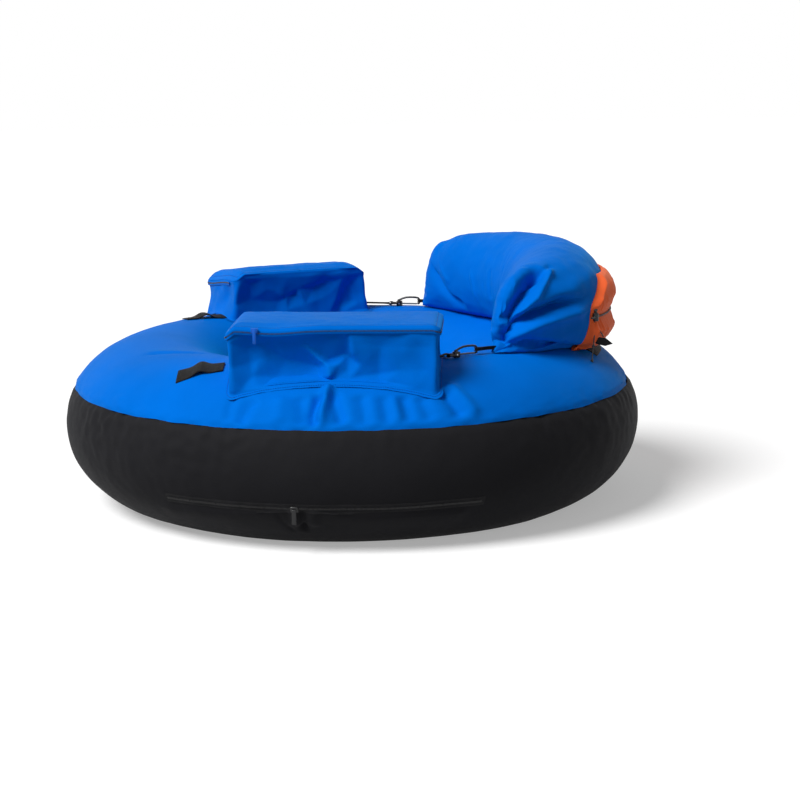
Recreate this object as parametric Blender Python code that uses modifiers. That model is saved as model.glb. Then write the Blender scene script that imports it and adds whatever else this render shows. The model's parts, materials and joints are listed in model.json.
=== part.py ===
"""Float tube: a ring-shaped fishing float with an inflatable backrest and two cargo pockets.

Metres, +Z up. The origin is on the floor under the ring's centre, +X points to the
backrest and -Y to the angler's left. Left and right are the seated angler's.
"""

import math

import bmesh
import bpy
from mathutils import Matrix, Vector
from mathutils.bvhtree import BVHTree

# Ring: outer covers, bladder, seams
TUBE_OUTER_DIAMETER = 1.12
SECTION_WIDTH = 0.36
SECTION_HEIGHT = 0.322
FLAT_SINK = 0.005
OUTER_SEAM_ANGLE = math.radians(26.0)
INNER_SEAM_ANGLE = math.radians(180.0)
RING_STEPS = 40
TOP_COVER_PANELS = 8
OUTER_BOTTOM_PANELS = 5
INNER_BOTTOM_PANELS = 4
COVER_WALL = 0.0012
BLADDER_WALL = 0.0006
BLADDER_SLACK = 0.0021
BINDING_WIDTH = 0.024
BINDING_THICKNESS = 0.0008

# Clearances and cutter lengths
TOUCH_GAP = 0.0004
MERGE = 0.00001
OVERRUN = 0.01

# Webbing, cord and rod stock
WEBBING_THICKNESS = 0.0018
NARROW_WEBBING_THICKNESS = 0.0012
CORD_DIAMETER = 0.0032

RING_RADIUS = TUBE_OUTER_DIAMETER / 2 - SECTION_WIDTH / 2
SECTION_CENTRE_HEIGHT = SECTION_HEIGHT / 2 - FLAT_SINK
TUBE_TOP = SECTION_CENTRE_HEIGHT + SECTION_HEIGHT / 2
HOLE_RADIUS = RING_RADIUS - SECTION_WIDTH / 2
FACET_SWEEP = 2 * math.pi / RING_STEPS
SIDES = {"left": -1, "right": 1}


# Scene and collections
for old_object in list(bpy.data.objects):
    bpy.data.objects.remove(old_object, do_unlink=True)
parts = bpy.data.collections.new("float_tube")
cutters = bpy.data.collections.new("float_tube_cutters")
bpy.context.scene.collection.children.link(parts)
bpy.context.scene.collection.children.link(cutters)


def paint(name, colour, roughness, metallic=0.0):
    """A Principled BSDF material with one colour and finish."""
    material = bpy.data.materials.new(name)
    material.use_nodes = True
    shader = material.node_tree.nodes["Principled BSDF"]
    shader.inputs["Base Color"].default_value = (*colour, 1.0)
    shader.inputs["Roughness"].default_value = roughness
    shader.inputs["Metallic"].default_value = metallic
    material.diffuse_color = (*colour, 1.0)
    return material


BLUE = (0.004, 0.10, 0.52)
BLACK = (0.012, 0.012, 0.014)
ORANGE = (0.95, 0.13, 0.015)
GREY = (0.25, 0.26, 0.27)
TAN = (0.55, 0.50, 0.42)
STEEL = (0.55, 0.56, 0.58)


def place(item, material):
    """Put a finished piece in the parts collection, or a cutter in the cutters'."""
    if material is None:
        cutters.objects.link(item)
        item.hide_render = True
        item.display_type = "WIRE"
    else:
        parts.objects.link(item)
        item.data.materials.clear()
        item.data.materials.append(material)
    return item


def from_bmesh(name, form, material):
    """Turn a bmesh into a placed object."""
    mesh = bpy.data.meshes.new(name)
    form.to_mesh(mesh)
    form.free()
    return place(bpy.data.objects.new(name, mesh), material)


def combine(item, other, operation="DIFFERENCE"):
    """Cut, join or intersect a piece with another mesh object."""
    step = item.modifiers.new(operation.title(), "BOOLEAN")
    step.operation = operation
    step.solver = "EXACT"
    step.object = other


def evaluated(item):
    """The piece's mesh with its modifiers, in world space."""
    bpy.context.view_layer.update()
    shaped = item.evaluated_get(bpy.context.evaluated_depsgraph_get())
    mesh = bpy.data.meshes.new_from_object(shaped)
    mesh.transform(item.matrix_world)
    return mesh


def turned(name, outline, material, steps, sweep=2 * math.pi, start=0.0, closed=False):
    """Spin an outline of (radius, height) points about Z, starting at an azimuth."""
    mesh = bpy.data.meshes.new(name)
    points = [(radius, 0.0, height) for radius, height in outline]
    edges = [(index, index + 1) for index in range(len(points) - 1)]
    if closed:
        edges.append((len(points) - 1, 0))
    mesh.from_pydata(points, edges, [])
    item = place(bpy.data.objects.new(name, mesh), material)
    item.rotation_euler.z = start
    spin = item.modifiers.new("Screw", "SCREW")
    spin.axis = "Z"
    spin.angle = sweep
    spin.steps = steps
    spin.render_steps = steps
    spin.use_merge_vertices = True
    spin.merge_threshold = MERGE
    spin.use_smooth_shade = True
    return item


def thicken(item, thickness, offset):
    """Give an open surface a wall."""
    wall = item.modifiers.new("Solidify", "SOLIDIFY")
    wall.thickness = thickness
    wall.offset = offset
    wall.use_even_offset = True


def box(name, size, centre, material=None, frame=None):
    """A box of a size, at a place in an optional local frame."""
    form = bmesh.new()
    bmesh.ops.create_cube(form, size=1.0, matrix=Matrix.Diagonal((*size, 1.0)))
    bmesh.ops.translate(form, verts=form.verts, vec=centre)
    item = from_bmesh(name, form, material)
    if frame is not None:
        item.matrix_world = frame
    return item


def pin(name, radius, length, centre, material=None, frame=None, steps=12):
    """A cylinder along local Y, at a place in an optional local frame."""
    form = bmesh.new()
    bmesh.ops.create_cone(form, cap_ends=True, segments=steps, radius1=radius, radius2=radius,
                          depth=length, matrix=Matrix.Rotation(math.pi / 2, 4, "X"))
    bmesh.ops.translate(form, verts=form.verts, vec=centre)
    item = from_bmesh(name, form, material)
    if frame is not None:
        item.matrix_world = frame
    return item


def sheet(name, rows, thickness, material, closed=False):
    """A strip or panel through rows of points, with its wall on both sides of them."""
    form = bmesh.new()
    grid = [[form.verts.new(point) for point in row] for row in rows]
    pairs = list(zip(grid, grid[1:]))
    if closed:
        pairs.append((grid[-1], grid[0]))
    for row, following in pairs:
        for index in range(len(row) - 1):
            form.faces.new((row[index], row[index + 1], following[index + 1], following[index]))
    item = from_bmesh(name, form, material)
    thicken(item, thickness, 0.0)
    return item


def smooth_route(points, spacing):
    """Read a route from a smooth curve through hand-chosen points."""
    ends = [2 * points[0] - points[1], *points, 2 * points[-1] - points[-2]]
    route = []
    for a, b, c, d in zip(ends, ends[1:], ends[2:], ends[3:]):
        count = max(1, round((c - b).length / spacing))
        for step in range(count):
            t = step / count
            route.append(((b * 2) + (c - a) * t + (a * 2 - b * 5 + c * 4 - d) * t ** 2
                          + (b * 3 - a - c * 3 + d) * t ** 3) / 2)
    route.append(points[-1])
    return route


def tube(name, route, diameter, material, resolution=2, frame=None, closed=False):
    """A round rod or cord along a route."""
    data = bpy.data.curves.new(name, "CURVE")
    data.dimensions = "3D"
    data.bevel_depth = diameter / 2
    data.bevel_resolution = resolution
    data.use_fill_caps = not closed
    spline = data.splines.new("POLY")
    spline.points.add(len(route) - 1)
    spline.use_cyclic_u = closed
    for point, place_on_route in zip(spline.points, route):
        point.co = (*place_on_route, 1.0)
    item = place(bpy.data.objects.new(name, data), material)
    if frame is not None:
        item.matrix_world = frame
    return item


def rod_mesh(name, route, diameter, material, resolution=2, frame=None):
    """The same rod as a welded mesh, so that it can be joined and cut."""
    curve = tube(name + "_curve", route, diameter, None, resolution, frame)
    bpy.context.view_layer.update()
    shaped = curve.evaluated_get(bpy.context.evaluated_depsgraph_get())
    form = bmesh.new()
    form.from_mesh(bpy.data.meshes.new_from_object(shaped))
    bmesh.ops.remove_doubles(form, verts=form.verts, dist=MERGE)
    bmesh.ops.recalc_face_normals(form, faces=form.faces)
    matrix = curve.matrix_world.copy()
    bpy.data.objects.remove(curve, do_unlink=True)
    item = from_bmesh(name, form, material)
    item.matrix_world = matrix
    return item


# Ring section
flat_angle = math.asin(-SECTION_CENTRE_HEIGHT / (SECTION_HEIGHT / 2))


def section_point(angle, outset=0.0):
    """(radius, height) on the ring's section, standing proud of it by outset."""
    radius = RING_RADIUS + (SECTION_WIDTH / 2 + outset) * math.cos(angle)
    height = SECTION_CENTRE_HEIGHT + (SECTION_HEIGHT / 2 + outset) * math.sin(angle)
    return radius, max(height, -outset)


def spread(first, last, panels):
    """Evenly spaced values from first to last, both included."""
    return [first + (last - first) * index / panels for index in range(panels + 1)]


top_angles = spread(INNER_SEAM_ANGLE, OUTER_SEAM_ANGLE, TOP_COVER_PANELS)
bottom_angles = (spread(OUTER_SEAM_ANGLE, flat_angle, OUTER_BOTTOM_PANELS)
                 + spread(-math.pi - flat_angle, INNER_SEAM_ANGLE - 2 * math.pi,
                          INNER_BOTTOM_PANELS))
seam_half_gap = (TOUCH_GAP + COVER_WALL / 3) / SECTION_WIDTH


def surface_height(x, y):
    """Height of the ring's upper surface over a place on the floor."""
    share = (math.hypot(x, y) - RING_RADIUS) / (SECTION_WIDTH / 2)
    return SECTION_CENTRE_HEIGHT + SECTION_HEIGHT / 2 * math.sqrt(max(0.0, 1.0 - share ** 2))


ring_cutters = {}


def ring_cutter(outset):
    """The whole ring as a closed form, standing proud by outset."""
    if outset not in ring_cutters:
        angles = top_angles[:-1] + bottom_angles[:-1]
        outline = [section_point(angle, outset) for angle in angles]
        ring_cutters[outset] = turned(f"ring_cutter_{len(ring_cutters)}", outline, None,
                                      RING_STEPS, closed=True)
    return ring_cutters[outset]


blue_fabric = paint("blue_fabric", BLUE, 0.55)
black_fabric = paint("black_fabric", BLACK, 0.6)
orange_fabric = paint("orange_fabric", ORANGE, 0.55)
black_webbing = paint("black_webbing", BLACK, 0.75)
binding_tape = paint("binding_tape", BLACK, 0.8)
bladder_film = paint("bladder_film", TAN, 0.35)
black_plastic = paint("black_plastic", BLACK, 0.3)
grey_plastic = paint("grey_plastic", GREY, 0.4)
black_cord = paint("black_cord", BLACK, 0.8)
bright_steel = paint("bright_steel", STEEL, 0.25, 1.0)


# Covers
top_ends = [top_angles[0] - seam_half_gap, *top_angles[1:-1], top_angles[-1] + seam_half_gap]
bottom_ends = [bottom_angles[0] - seam_half_gap, *bottom_angles[1:-1],
               bottom_angles[-1] + seam_half_gap]
top_cover = turned("top_cover", [section_point(angle) for angle in top_ends], blue_fabric,
                   RING_STEPS)
thicken(top_cover, COVER_WALL, -1.0)

def shortened(outline, distance):
    """An outline whose first point is drawn towards the second one."""
    first, second = Vector(outline[0]), Vector(outline[1])
    return [tuple(first + (second - first).normalized() * distance), *outline[1:]]


# The lower cover is an outer panel with the flat foot, and an inner panel round the hole
foot_edge = OUTER_BOTTOM_PANELS + 1
bottom_points = [section_point(angle) for angle in bottom_ends]
outer_points = shortened(bottom_points[foot_edge::-1], TOUCH_GAP)[::-1]
inner_points = shortened(bottom_points[foot_edge:], TOUCH_GAP + COVER_WALL / 2)
bottom_cover = turned("bottom_cover", outer_points, black_fabric, RING_STEPS)
thicken(bottom_cover, COVER_WALL, -1.0)
inner_bottom_cover = turned("inner_bottom_cover", inner_points, black_fabric, RING_STEPS)
thicken(inner_bottom_cover, COVER_WALL, -1.0)


# Seam bindings, sewn inside over the covers' raw edges
def seam_binding(name, seam_angle, angle_above, angle_below):
    outset = -COVER_WALL - TOUCH_GAP - BINDING_THICKNESS
    seam = Vector(section_point(seam_angle, outset))
    edges = []
    for angle in (angle_above, angle_below):
        along = Vector(section_point(angle, outset)) - seam
        edges.append(seam + along.normalized() * BINDING_WIDTH / 2)
    outline = [tuple(edges[0]), tuple(seam), tuple(edges[1])]
    binding = turned(name, outline, binding_tape, RING_STEPS)
    thicken(binding, BINDING_THICKNESS, 0.0)


seam_binding("outer_seam_binding", OUTER_SEAM_ANGLE, top_angles[-2], bottom_angles[1])
seam_binding("hole_seam_binding", INNER_SEAM_ANGLE, top_angles[1], bottom_angles[-2])


# Main bladder: one sealed tube, open only at its valve
bladder_outset = -COVER_WALL - BINDING_THICKNESS - BLADDER_SLACK
bladder_angles = [*top_angles[:-1:2], *bottom_angles[0:5:2], *bottom_angles[5:-1:2]]


def bladder_ring(name, outset, material):
    outline = [section_point(angle, outset) for angle in bladder_angles]
    return turned(name, outline, material, RING_STEPS, closed=True)


main_bladder = bladder_ring("main_bladder", bladder_outset, bladder_film)
combine(main_bladder, bladder_ring("main_bladder_air", bladder_outset - BLADDER_WALL, None))


# Valves: a flanged spool with a bore, and the cap that plugs it
VALVE_FLANGE_RADIUS = 0.0125
VALVE_FLANGE_THICKNESS = 0.0025
VALVE_NECK_RADIUS = 0.0075
VALVE_BORE_RADIUS = 0.004
VALVE_DEPTH = 0.0155
VALVE_CAP_RADIUS = 0.0105
VALVE_CAP_HEIGHT = 0.006
VALVE_PLUG_DEPTH = 0.005
VALVE_CAP_TOP_SHARE = 0.86
BACKREST_VALVE_SHARE = 0.72
MAIN_VALVE_FACET = -11
MAIN_VALVE_PANEL = 1


def valve(prefix, frame, scale_share, walls):
    """The valve body, the cap on it, and the holes that it needs in the walls it passes."""
    flange = VALVE_FLANGE_RADIUS * scale_share
    neck = VALVE_NECK_RADIUS * scale_share
    bore = VALVE_BORE_RADIUS * scale_share
    foot = TOUCH_GAP
    seat = foot + VALVE_FLANGE_THICKNESS
    depth = -VALVE_DEPTH
    body = turned(prefix + "_body",
                  [(bore, seat), (flange, seat), (flange, foot), (neck, foot),
                   (neck, depth), (bore, depth)], grey_plastic, 16, closed=True)
    body.matrix_world = frame
    cap_radius = VALVE_CAP_RADIUS * scale_share
    cap_foot = seat + TOUCH_GAP
    cap_top = cap_foot + VALVE_CAP_HEIGHT
    plug = bore - TOUCH_GAP
    cap = turned(prefix + "_cap",
                 [(0.0, cap_top), (cap_radius * VALVE_CAP_TOP_SHARE, cap_top),
                  (cap_radius, cap_top - VALVE_CAP_HEIGHT * (1.0 - VALVE_CAP_TOP_SHARE)),
                  (cap_radius, cap_foot), (plug, cap_foot), (plug, seat - VALVE_PLUG_DEPTH),
                  (0.0, seat - VALVE_PLUG_DEPTH)], black_plastic, 16)
    cap.matrix_world = frame
    hole = neck + TOUCH_GAP
    for index, wall in enumerate(walls):
        cutter = turned(f"{prefix}_hole_{index}",
                        [(0.0, OVERRUN), (hole, OVERRUN), (hole, depth - OVERRUN),
                         (0.0, depth - OVERRUN)], None, 16)
        cutter.matrix_world = frame
        combine(wall, cutter)


def facing(origin, normal, along=None):
    """A frame at a point with local Z on a normal and local X near a direction."""
    up = normal.normalized()
    first = along if along is not None else Vector((0.0, 0.0, 1.0))
    cross = (first - up * first.dot(up)).normalized()
    matrix = Matrix((cross, up.cross(cross), up)).transposed().to_4x4()
    matrix.translation = origin
    return matrix


panel = [section_point(angle) for angle in top_angles[MAIN_VALVE_PANEL:MAIN_VALVE_PANEL + 2]]
facet_shrink = math.cos(FACET_SWEEP / 2)
main_valve_azimuth = (MAIN_VALVE_FACET - 0.5) * FACET_SWEEP
panel_rise = Vector(((panel[1][0] - panel[0][0]) * facet_shrink, 0.0, panel[1][1] - panel[0][1]))
panel_normal = Vector((-panel_rise.z, 0.0, panel_rise.x)).normalized()
panel_centre = Vector(((panel[0][0] + panel[1][0]) / 2 * facet_shrink, 0.0,
                       (panel[0][1] + panel[1][1]) / 2))
main_valve_turn = Matrix.Rotation(main_valve_azimuth, 4, "Z")
valve("main_valve", main_valve_turn @ facing(panel_centre, panel_normal), 1.0,
      [top_cover, main_bladder])


# Cover zip on the outside of the lower cover, through which the bladder goes in
COVER_ZIP_START = -15
COVER_ZIP_FACETS = 7
COVER_ZIP_MARGIN_SHARE = 0.26
COVER_ZIP_THICKNESS = 0.0014
COVER_SLIDER_LENGTH = 0.014
COVER_SLIDER_HEIGHT = 0.011
COVER_SLIDER_DEPTH = 0.0045
COVER_SLIDER_FACET = -12
COVER_PULL_LENGTH = 0.026
COVER_PULL_WIDTH = 0.008
COVER_PULL_THICKNESS = 0.002

zip_panel = (Vector(section_point(bottom_angles[2])), Vector(section_point(bottom_angles[3])))
zip_along = zip_panel[1] - zip_panel[0]
zip_normal = Vector((-zip_along.y, zip_along.x)).normalized()
if zip_normal.x < 0:
    zip_normal = -zip_normal
zip_lift = zip_normal * (TOUCH_GAP + COVER_ZIP_THICKNESS)
zip_edges = [zip_panel[0] + zip_along * COVER_ZIP_MARGIN_SHARE + zip_lift,
             zip_panel[1] - zip_along * COVER_ZIP_MARGIN_SHARE + zip_lift]
cover_zip = turned("cover_zip_tape", [tuple(point) for point in zip_edges], binding_tape,
                   COVER_ZIP_FACETS, COVER_ZIP_FACETS * FACET_SWEEP,
                   COVER_ZIP_START * FACET_SWEEP)
thicken(cover_zip, COVER_ZIP_THICKNESS, -1.0)

slider_point = (zip_edges[0] + zip_edges[1]) / 2 + zip_normal * TOUCH_GAP
slider_turn = Matrix.Rotation(COVER_SLIDER_FACET * FACET_SWEEP, 4, "Z")
slider_frame = slider_turn @ facing(Vector((slider_point.x, 0.0, slider_point.y)),
                                    Vector((zip_normal.x, 0.0, zip_normal.y)))
cover_slider = box("cover_zip_slider",
                   (COVER_SLIDER_HEIGHT, COVER_SLIDER_LENGTH, COVER_SLIDER_DEPTH),
                   (0.0, 0.0, COVER_SLIDER_DEPTH / 2), black_plastic, slider_frame)
pull_pivot = slider_frame @ Vector((0.0, 0.0, COVER_SLIDER_DEPTH + COVER_PULL_THICKNESS / 2
                                    + TOUCH_GAP))
pull_frame = Matrix.Translation(pull_pivot) @ slider_turn
cover_pull = box("cover_zip_pull", (COVER_PULL_THICKNESS, COVER_PULL_WIDTH, COVER_PULL_LENGTH),
                 (0.0, 0.0, (COVER_PULL_THICKNESS - COVER_PULL_LENGTH) / 2), black_plastic,
                 pull_frame)


# Pockets: a padded box sewn to the ring, its lid, and the zip round its outer three sides
POCKET_AZIMUTH = {"left": math.radians(-101.0), "right": math.radians(106.0)}
POCKET_LENGTH = {"left": 0.37, "right": 0.31}
POCKET_END_SLOPE = {"left": -0.004, "right": 0.022}
POCKET_SHIFT = {"left": -0.001, "right": -0.012}
POCKET_INSET = 0.087
POCKET_DEPTH = 0.177
POCKET_RISE = 0.083
POCKET_WALL = 0.003
POCKET_CORNER_RADIUS = 0.024
POCKET_SINK = 0.10
LID_THICKNESS = 0.003
ZIP_TAPE_HEIGHT = 0.010
ZIP_TAPE_THICKNESS = 0.0012
ZIP_SETBACK = 0.020
SLIDER_LENGTH = 0.012
SLIDER_HEIGHT = 0.009
SLIDER_DEPTH = 0.004
SLIDER_SHARE = {"left": -0.3697, "right": 0.2835}
PULL_LENGTH = 0.024
PULL_WIDTH = 0.006
PULL_THICKNESS = 0.0016
POCKET_INNER_RADIUS = RING_RADIUS - POCKET_INSET


def pocket_frame(side):
    """Local X points outward from the ring's centre, local Y along the ring."""
    return Matrix.Rotation(POCKET_AZIMUTH[side], 4, "Z")


def pocket_block(name, side, inset, low, high, material=None):
    """The pocket's tapered outer form between two heights, drawn in by inset."""
    slope = POCKET_END_SLOPE[side] / (POCKET_RISE + LID_THICKNESS)
    corner = max(POCKET_CORNER_RADIUS - inset, POCKET_CORNER_RADIUS / 4)
    form = bmesh.new()
    bmesh.ops.create_cube(form, size=2.0)
    for corner_point in form.verts:
        sign_x, sign_y, sign_z = corner_point.co
        height = high if sign_z > 0 else low
        half_length = POCKET_LENGTH[side] / 2 - inset - slope * (height - TUBE_TOP)
        middle = POCKET_INNER_RADIUS + POCKET_DEPTH / 2
        corner_point.co = (middle + sign_x * (POCKET_DEPTH / 2 - inset),
                           POCKET_SHIFT[side] + sign_y * half_length, height)
    upright = [edge for edge in form.edges
               if abs(edge.verts[0].co.z - edge.verts[1].co.z) > (high - low) / 2]
    bmesh.ops.bevel(form, geom=upright, offset=corner, segments=3, profile=0.5,
                    affect="EDGES", material=-1)
    item = from_bmesh(name, form, material)
    item.matrix_world = pocket_frame(side)
    return item


pocket_top = TUBE_TOP + POCKET_RISE
pocket_low = TUBE_TOP - POCKET_SINK
for side, sign in SIDES.items():
    pocket = pocket_block(side + "_pocket_body", side, 0.0, pocket_low,
                          pocket_top - LID_THICKNESS - TOUCH_GAP, blue_fabric)
    room = pocket_block(side + "_pocket_room", side, POCKET_WALL, pocket_low - OVERRUN,
                        pocket_top + OVERRUN)
    combine(room, ring_cutter(TOUCH_GAP + POCKET_WALL))
    combine(pocket, room)
    combine(pocket, ring_cutter(TOUCH_GAP))

    lid = pocket_block(side + "_pocket_lid", side, 0.0, pocket_top - LID_THICKNESS, pocket_top,
                       blue_fabric)

    zip_top = pocket_top - LID_THICKNESS - TOUCH_GAP - ZIP_TAPE_THICKNESS
    zip_low = zip_top - ZIP_TAPE_HEIGHT
    tape = pocket_block(side + "_pocket_zip_tape", side, -TOUCH_GAP - ZIP_TAPE_THICKNESS,
                        zip_low, zip_top, binding_tape)
    tape_room = pocket_block(side + "_pocket_zip_room", side, -TOUCH_GAP, zip_low - OVERRUN,
                             zip_top + OVERRUN)
    combine(tape, tape_room)
    tape_trim = box(side + "_pocket_zip_trim",
                    (2 * ZIP_SETBACK, 2 * POCKET_LENGTH[side], 2 * POCKET_RISE),
                    (POCKET_INNER_RADIUS, 0.0, pocket_top), None, pocket_frame(side))
    combine(tape, tape_trim)

    slider_x = (POCKET_INNER_RADIUS + POCKET_DEPTH + 2 * TOUCH_GAP + ZIP_TAPE_THICKNESS
                + SLIDER_DEPTH / 2)
    slider_y = SLIDER_SHARE[side] * POCKET_LENGTH[side]
    slider_z = (zip_low + zip_top) / 2
    box(side + "_pocket_slider", (SLIDER_DEPTH, SLIDER_LENGTH, SLIDER_HEIGHT),
        (slider_x, slider_y, slider_z), black_plastic, pocket_frame(side))
    pull_x = slider_x + SLIDER_DEPTH / 2 + TOUCH_GAP + PULL_THICKNESS / 2
    tab = box(side + "_pocket_pull", (PULL_THICKNESS, PULL_WIDTH, PULL_LENGTH),
              (0.0, 0.0, -PULL_LENGTH / 2 + PULL_THICKNESS / 2), black_plastic)
    tab.matrix_world = pocket_frame(side) @ Matrix.Translation((pull_x, slider_y, slider_z))


# Backrest: a crescent cushion with a crown and drawn-in ends, on the rear of the ring
BACKREST_HALF_SPAN = math.radians(56.0)
BACKREST_RISE = 0.175
BACKREST_FOOT_SINK = 0.075
BACKREST_WALL = 0.008
BACKREST_END_WALL = 0.030
BACKREST_FILM = 0.001
BACKREST_SLACK = 0.0006
# Each station: azimuth, inner edge inwards, outer edge outwards and crown height, as shares
# of the half span, of half the section's width (twice) and of the backrest's rise
BACKREST_STATION_SHARES = (
    (0.00, 0.456, 0.594, 1.000),
    (0.23, 0.456, 0.594, 0.994),
    (0.45, 0.444, 0.578, 0.975),
    (0.64, 0.405, 0.533, 0.948),
    (0.79, 0.340, 0.400, 0.914),
    (0.91, 0.245, 0.240, 0.878),
    (1.00, 0.135, 0.090, 0.835),
)
# The section from the inner foot over the crown to the outer foot: across and up, as shares
BACKREST_SECTION_SHARES = (
    (0.00, 0.00), (0.025, 0.16), (0.09, 0.42), (0.20, 0.69), (0.36, 0.92), (0.55, 1.01),
    (0.76, 0.96), (0.93, 0.79), (1.00, 0.54), (0.98, 0.27), (0.92, 0.06), (0.88, 0.00),
)


def station_at(azimuth_share):
    """The cushion's edges at any share of its half span, read between its stations."""
    share = abs(azimuth_share)
    for low, high in zip(BACKREST_STATION_SHARES, BACKREST_STATION_SHARES[1:]):
        if share <= high[0]:
            blend = (share - low[0]) / (high[0] - low[0])
            return [a + (b - a) * blend for a, b in zip(low, high)][1:]
    return list(BACKREST_STATION_SHARES[-1][1:])


def backrest_station(azimuth_share, inner, outer, crown, inset):
    """One ring of points across the cushion, from foot to foot and back underneath."""
    azimuth = azimuth_share * BACKREST_HALF_SPAN
    inner_radius = RING_RADIUS - inner * SECTION_WIDTH / 2
    outer_radius = RING_RADIUS + outer * SECTION_WIDTH / 2
    foot = surface_height(inner_radius, 0.0)
    top = TUBE_TOP + crown * BACKREST_RISE - inset
    inner_radius += inset
    outer_radius -= inset
    ring = []
    for across, up in BACKREST_SECTION_SHARES:
        radius = inner_radius + across * (outer_radius - inner_radius)
        height = foot + up * (top - foot) if up > 0 else foot - BACKREST_FOOT_SINK
        ring.append((radius, height))
    ring.append(((ring[0][0] + ring[-1][0]) / 2, foot - BACKREST_FOOT_SINK))
    return [Vector((radius * math.cos(azimuth), radius * math.sin(azimuth), height))
            for radius, height in ring]


def loft(name, rings, material, folded=True):
    """Skin closed rings of points, folding each panel along its same diagonal if flat."""
    form = bmesh.new()
    loops = [[form.verts.new(point) for point in ring] for ring in rings]
    for loop, following in zip(loops, loops[1:]):
        for index in range(len(loop)):
            after = (index + 1) % len(loop)
            form.faces.new((loop[index], loop[after], following[after], following[index]))
    form.faces.new(loops[0])
    form.faces.new(loops[-1])
    bmesh.ops.recalc_face_normals(form, faces=form.faces)
    if folded:
        bmesh.ops.triangulate(form, faces=form.faces, quad_method="FIXED", ngon_method="BEAUTY")
    return from_bmesh(name, form, material)


def backrest_form(name, inset, end_inset, smooth, material=None):
    """The whole cushion's form, drawn in by inset at its skin and end_inset at its ends."""
    last_share = 1.0 - end_inset / (RING_RADIUS * BACKREST_HALF_SPAN)
    half = [station for station in BACKREST_STATION_SHARES if station[0] < last_share]
    half.append((last_share, *station_at(last_share)))
    stations = [(-share, *rest) for share, *rest in half[:0:-1]] + half
    rings = [backrest_station(*station, inset) for station in stations]
    item = loft(name, rings, material, not smooth)
    if smooth:
        rounding = item.modifiers.new("Subdivision", "SUBSURF")
        rounding.levels = 1
        rounding.render_levels = 1
    return item


backrest_cover = backrest_form("backrest_cover", 0.0, 0.0, True, blue_fabric)
backrest_room = backrest_form("backrest_room", BACKREST_WALL, BACKREST_END_WALL, False)
combine(backrest_room, ring_cutter(TOUCH_GAP + POCKET_WALL))
combine(backrest_cover, backrest_room)
combine(backrest_cover, ring_cutter(TOUCH_GAP))

film_inset = BACKREST_WALL + BACKREST_SLACK
film_foot = TOUCH_GAP + POCKET_WALL + BACKREST_SLACK
backrest_bladder = backrest_form("backrest_bladder", film_inset,
                                 BACKREST_END_WALL + BACKREST_SLACK, False, bladder_film)
backrest_air = backrest_form("backrest_air", film_inset + BACKREST_FILM,
                             BACKREST_END_WALL + BACKREST_SLACK + BACKREST_FILM, False)
combine(backrest_air, ring_cutter(film_foot + BACKREST_FILM))
combine(backrest_bladder, ring_cutter(film_foot))
combine(backrest_bladder, backrest_air)

backrest_skin = backrest_form("backrest_skin_cutter", -TOUCH_GAP, -TOUCH_GAP, True)

# The backrest's valve sits high on the rear face, past the end of the pouch
BACKREST_VALVE_AZIMUTH = math.radians(40.0)
BACKREST_VALVE_HEIGHT = 0.085


def skin_tree(target):
    """A piece's skin, ready for a ray to be dropped on it."""
    mesh = evaluated(target)
    form = bmesh.new()
    form.from_mesh(mesh)
    tree = BVHTree.FromBMesh(form)
    form.free()
    bpy.data.meshes.remove(mesh)
    return tree


def hit_skin(target, azimuth, height, reach):
    """Where a level line from outside towards the ring's axis meets a piece's skin."""
    outward = Vector((math.cos(azimuth), math.sin(azimuth), 0.0))
    start = outward * reach + Vector((0.0, 0.0, height))
    point, normal, _, _ = skin_tree(target).ray_cast(start, -outward)
    return point, normal


valve_point, valve_normal = hit_skin(backrest_skin, BACKREST_VALVE_AZIMUTH,
                                     TUBE_TOP + BACKREST_VALVE_HEIGHT, TUBE_OUTER_DIAMETER)
valve("backrest_valve", facing(valve_point + valve_normal * TOUCH_GAP, valve_normal),
      BACKREST_VALVE_SHARE, [backrest_cover, backrest_bladder])

# The hinge flap and the webbing tabs lie on the cover's faceted skin
cover_tree = skin_tree(top_cover)


def cover_height(x, y):
    """Height of the top cover's faceted skin over a place on the floor."""
    return cover_tree.ray_cast(Vector((x, y, 2 * TUBE_TOP)), Vector((0.0, 0.0, -1.0)))[0].z


# The sewn flap behind the cushion that hinges it to the ring
HINGE_FLAP_WIDTH = 0.032
HINGE_FLAP_THICKNESS = 0.0012
HINGE_OFFSET = 0.081
HINGE_HALF_SPAN = math.radians(27.0)
HINGE_FLAP_STEPS = 12
flap_rows = []
for azimuth in spread(-HINGE_HALF_SPAN, HINGE_HALF_SPAN, HINGE_FLAP_STEPS):
    row = []
    for across_share in spread(0.0, 1.0, 3):
        radius = RING_RADIUS + HINGE_OFFSET + HINGE_FLAP_WIDTH * across_share
        x = radius * math.cos(azimuth)
        y = radius * math.sin(azimuth)
        row.append(Vector((x, y, cover_height(x, y) + TOUCH_GAP + HINGE_FLAP_THICKNESS / 2)))
    flap_rows.append(row)
hinge_flap = sheet("backrest_hinge_flap", flap_rows, HINGE_FLAP_THICKNESS, black_webbing)
combine(hinge_flap, ring_cutter(TOUCH_GAP))
combine(hinge_flap, backrest_skin)


# Rear pouch: high-visibility fabric in two lobes, cinched at mid height by a drawcord
POUCH_HALF_SPAN = math.radians(33.5)
POUCH_STATIONS = 9
POUCH_LOBE = 0.012
POUCH_EMBED = 0.012
POUCH_CINCH_HEIGHT = 0.048
POUCH_CINCH_SHARE = 0.40
POUCH_END_SHARE = 0.55
# Height above the ring's top, as a share of the rise, and thickness, as a share of the lobe
POUCH_PROFILE_SHARES = (
    (-0.085, 0.45), (0.02, 0.95), (0.15, 0.95), (0.22, POUCH_CINCH_SHARE),
    (0.365, POUCH_CINCH_SHARE), (0.45, 0.95), (0.58, 1.0), (0.70, 0.55),
)


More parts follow.
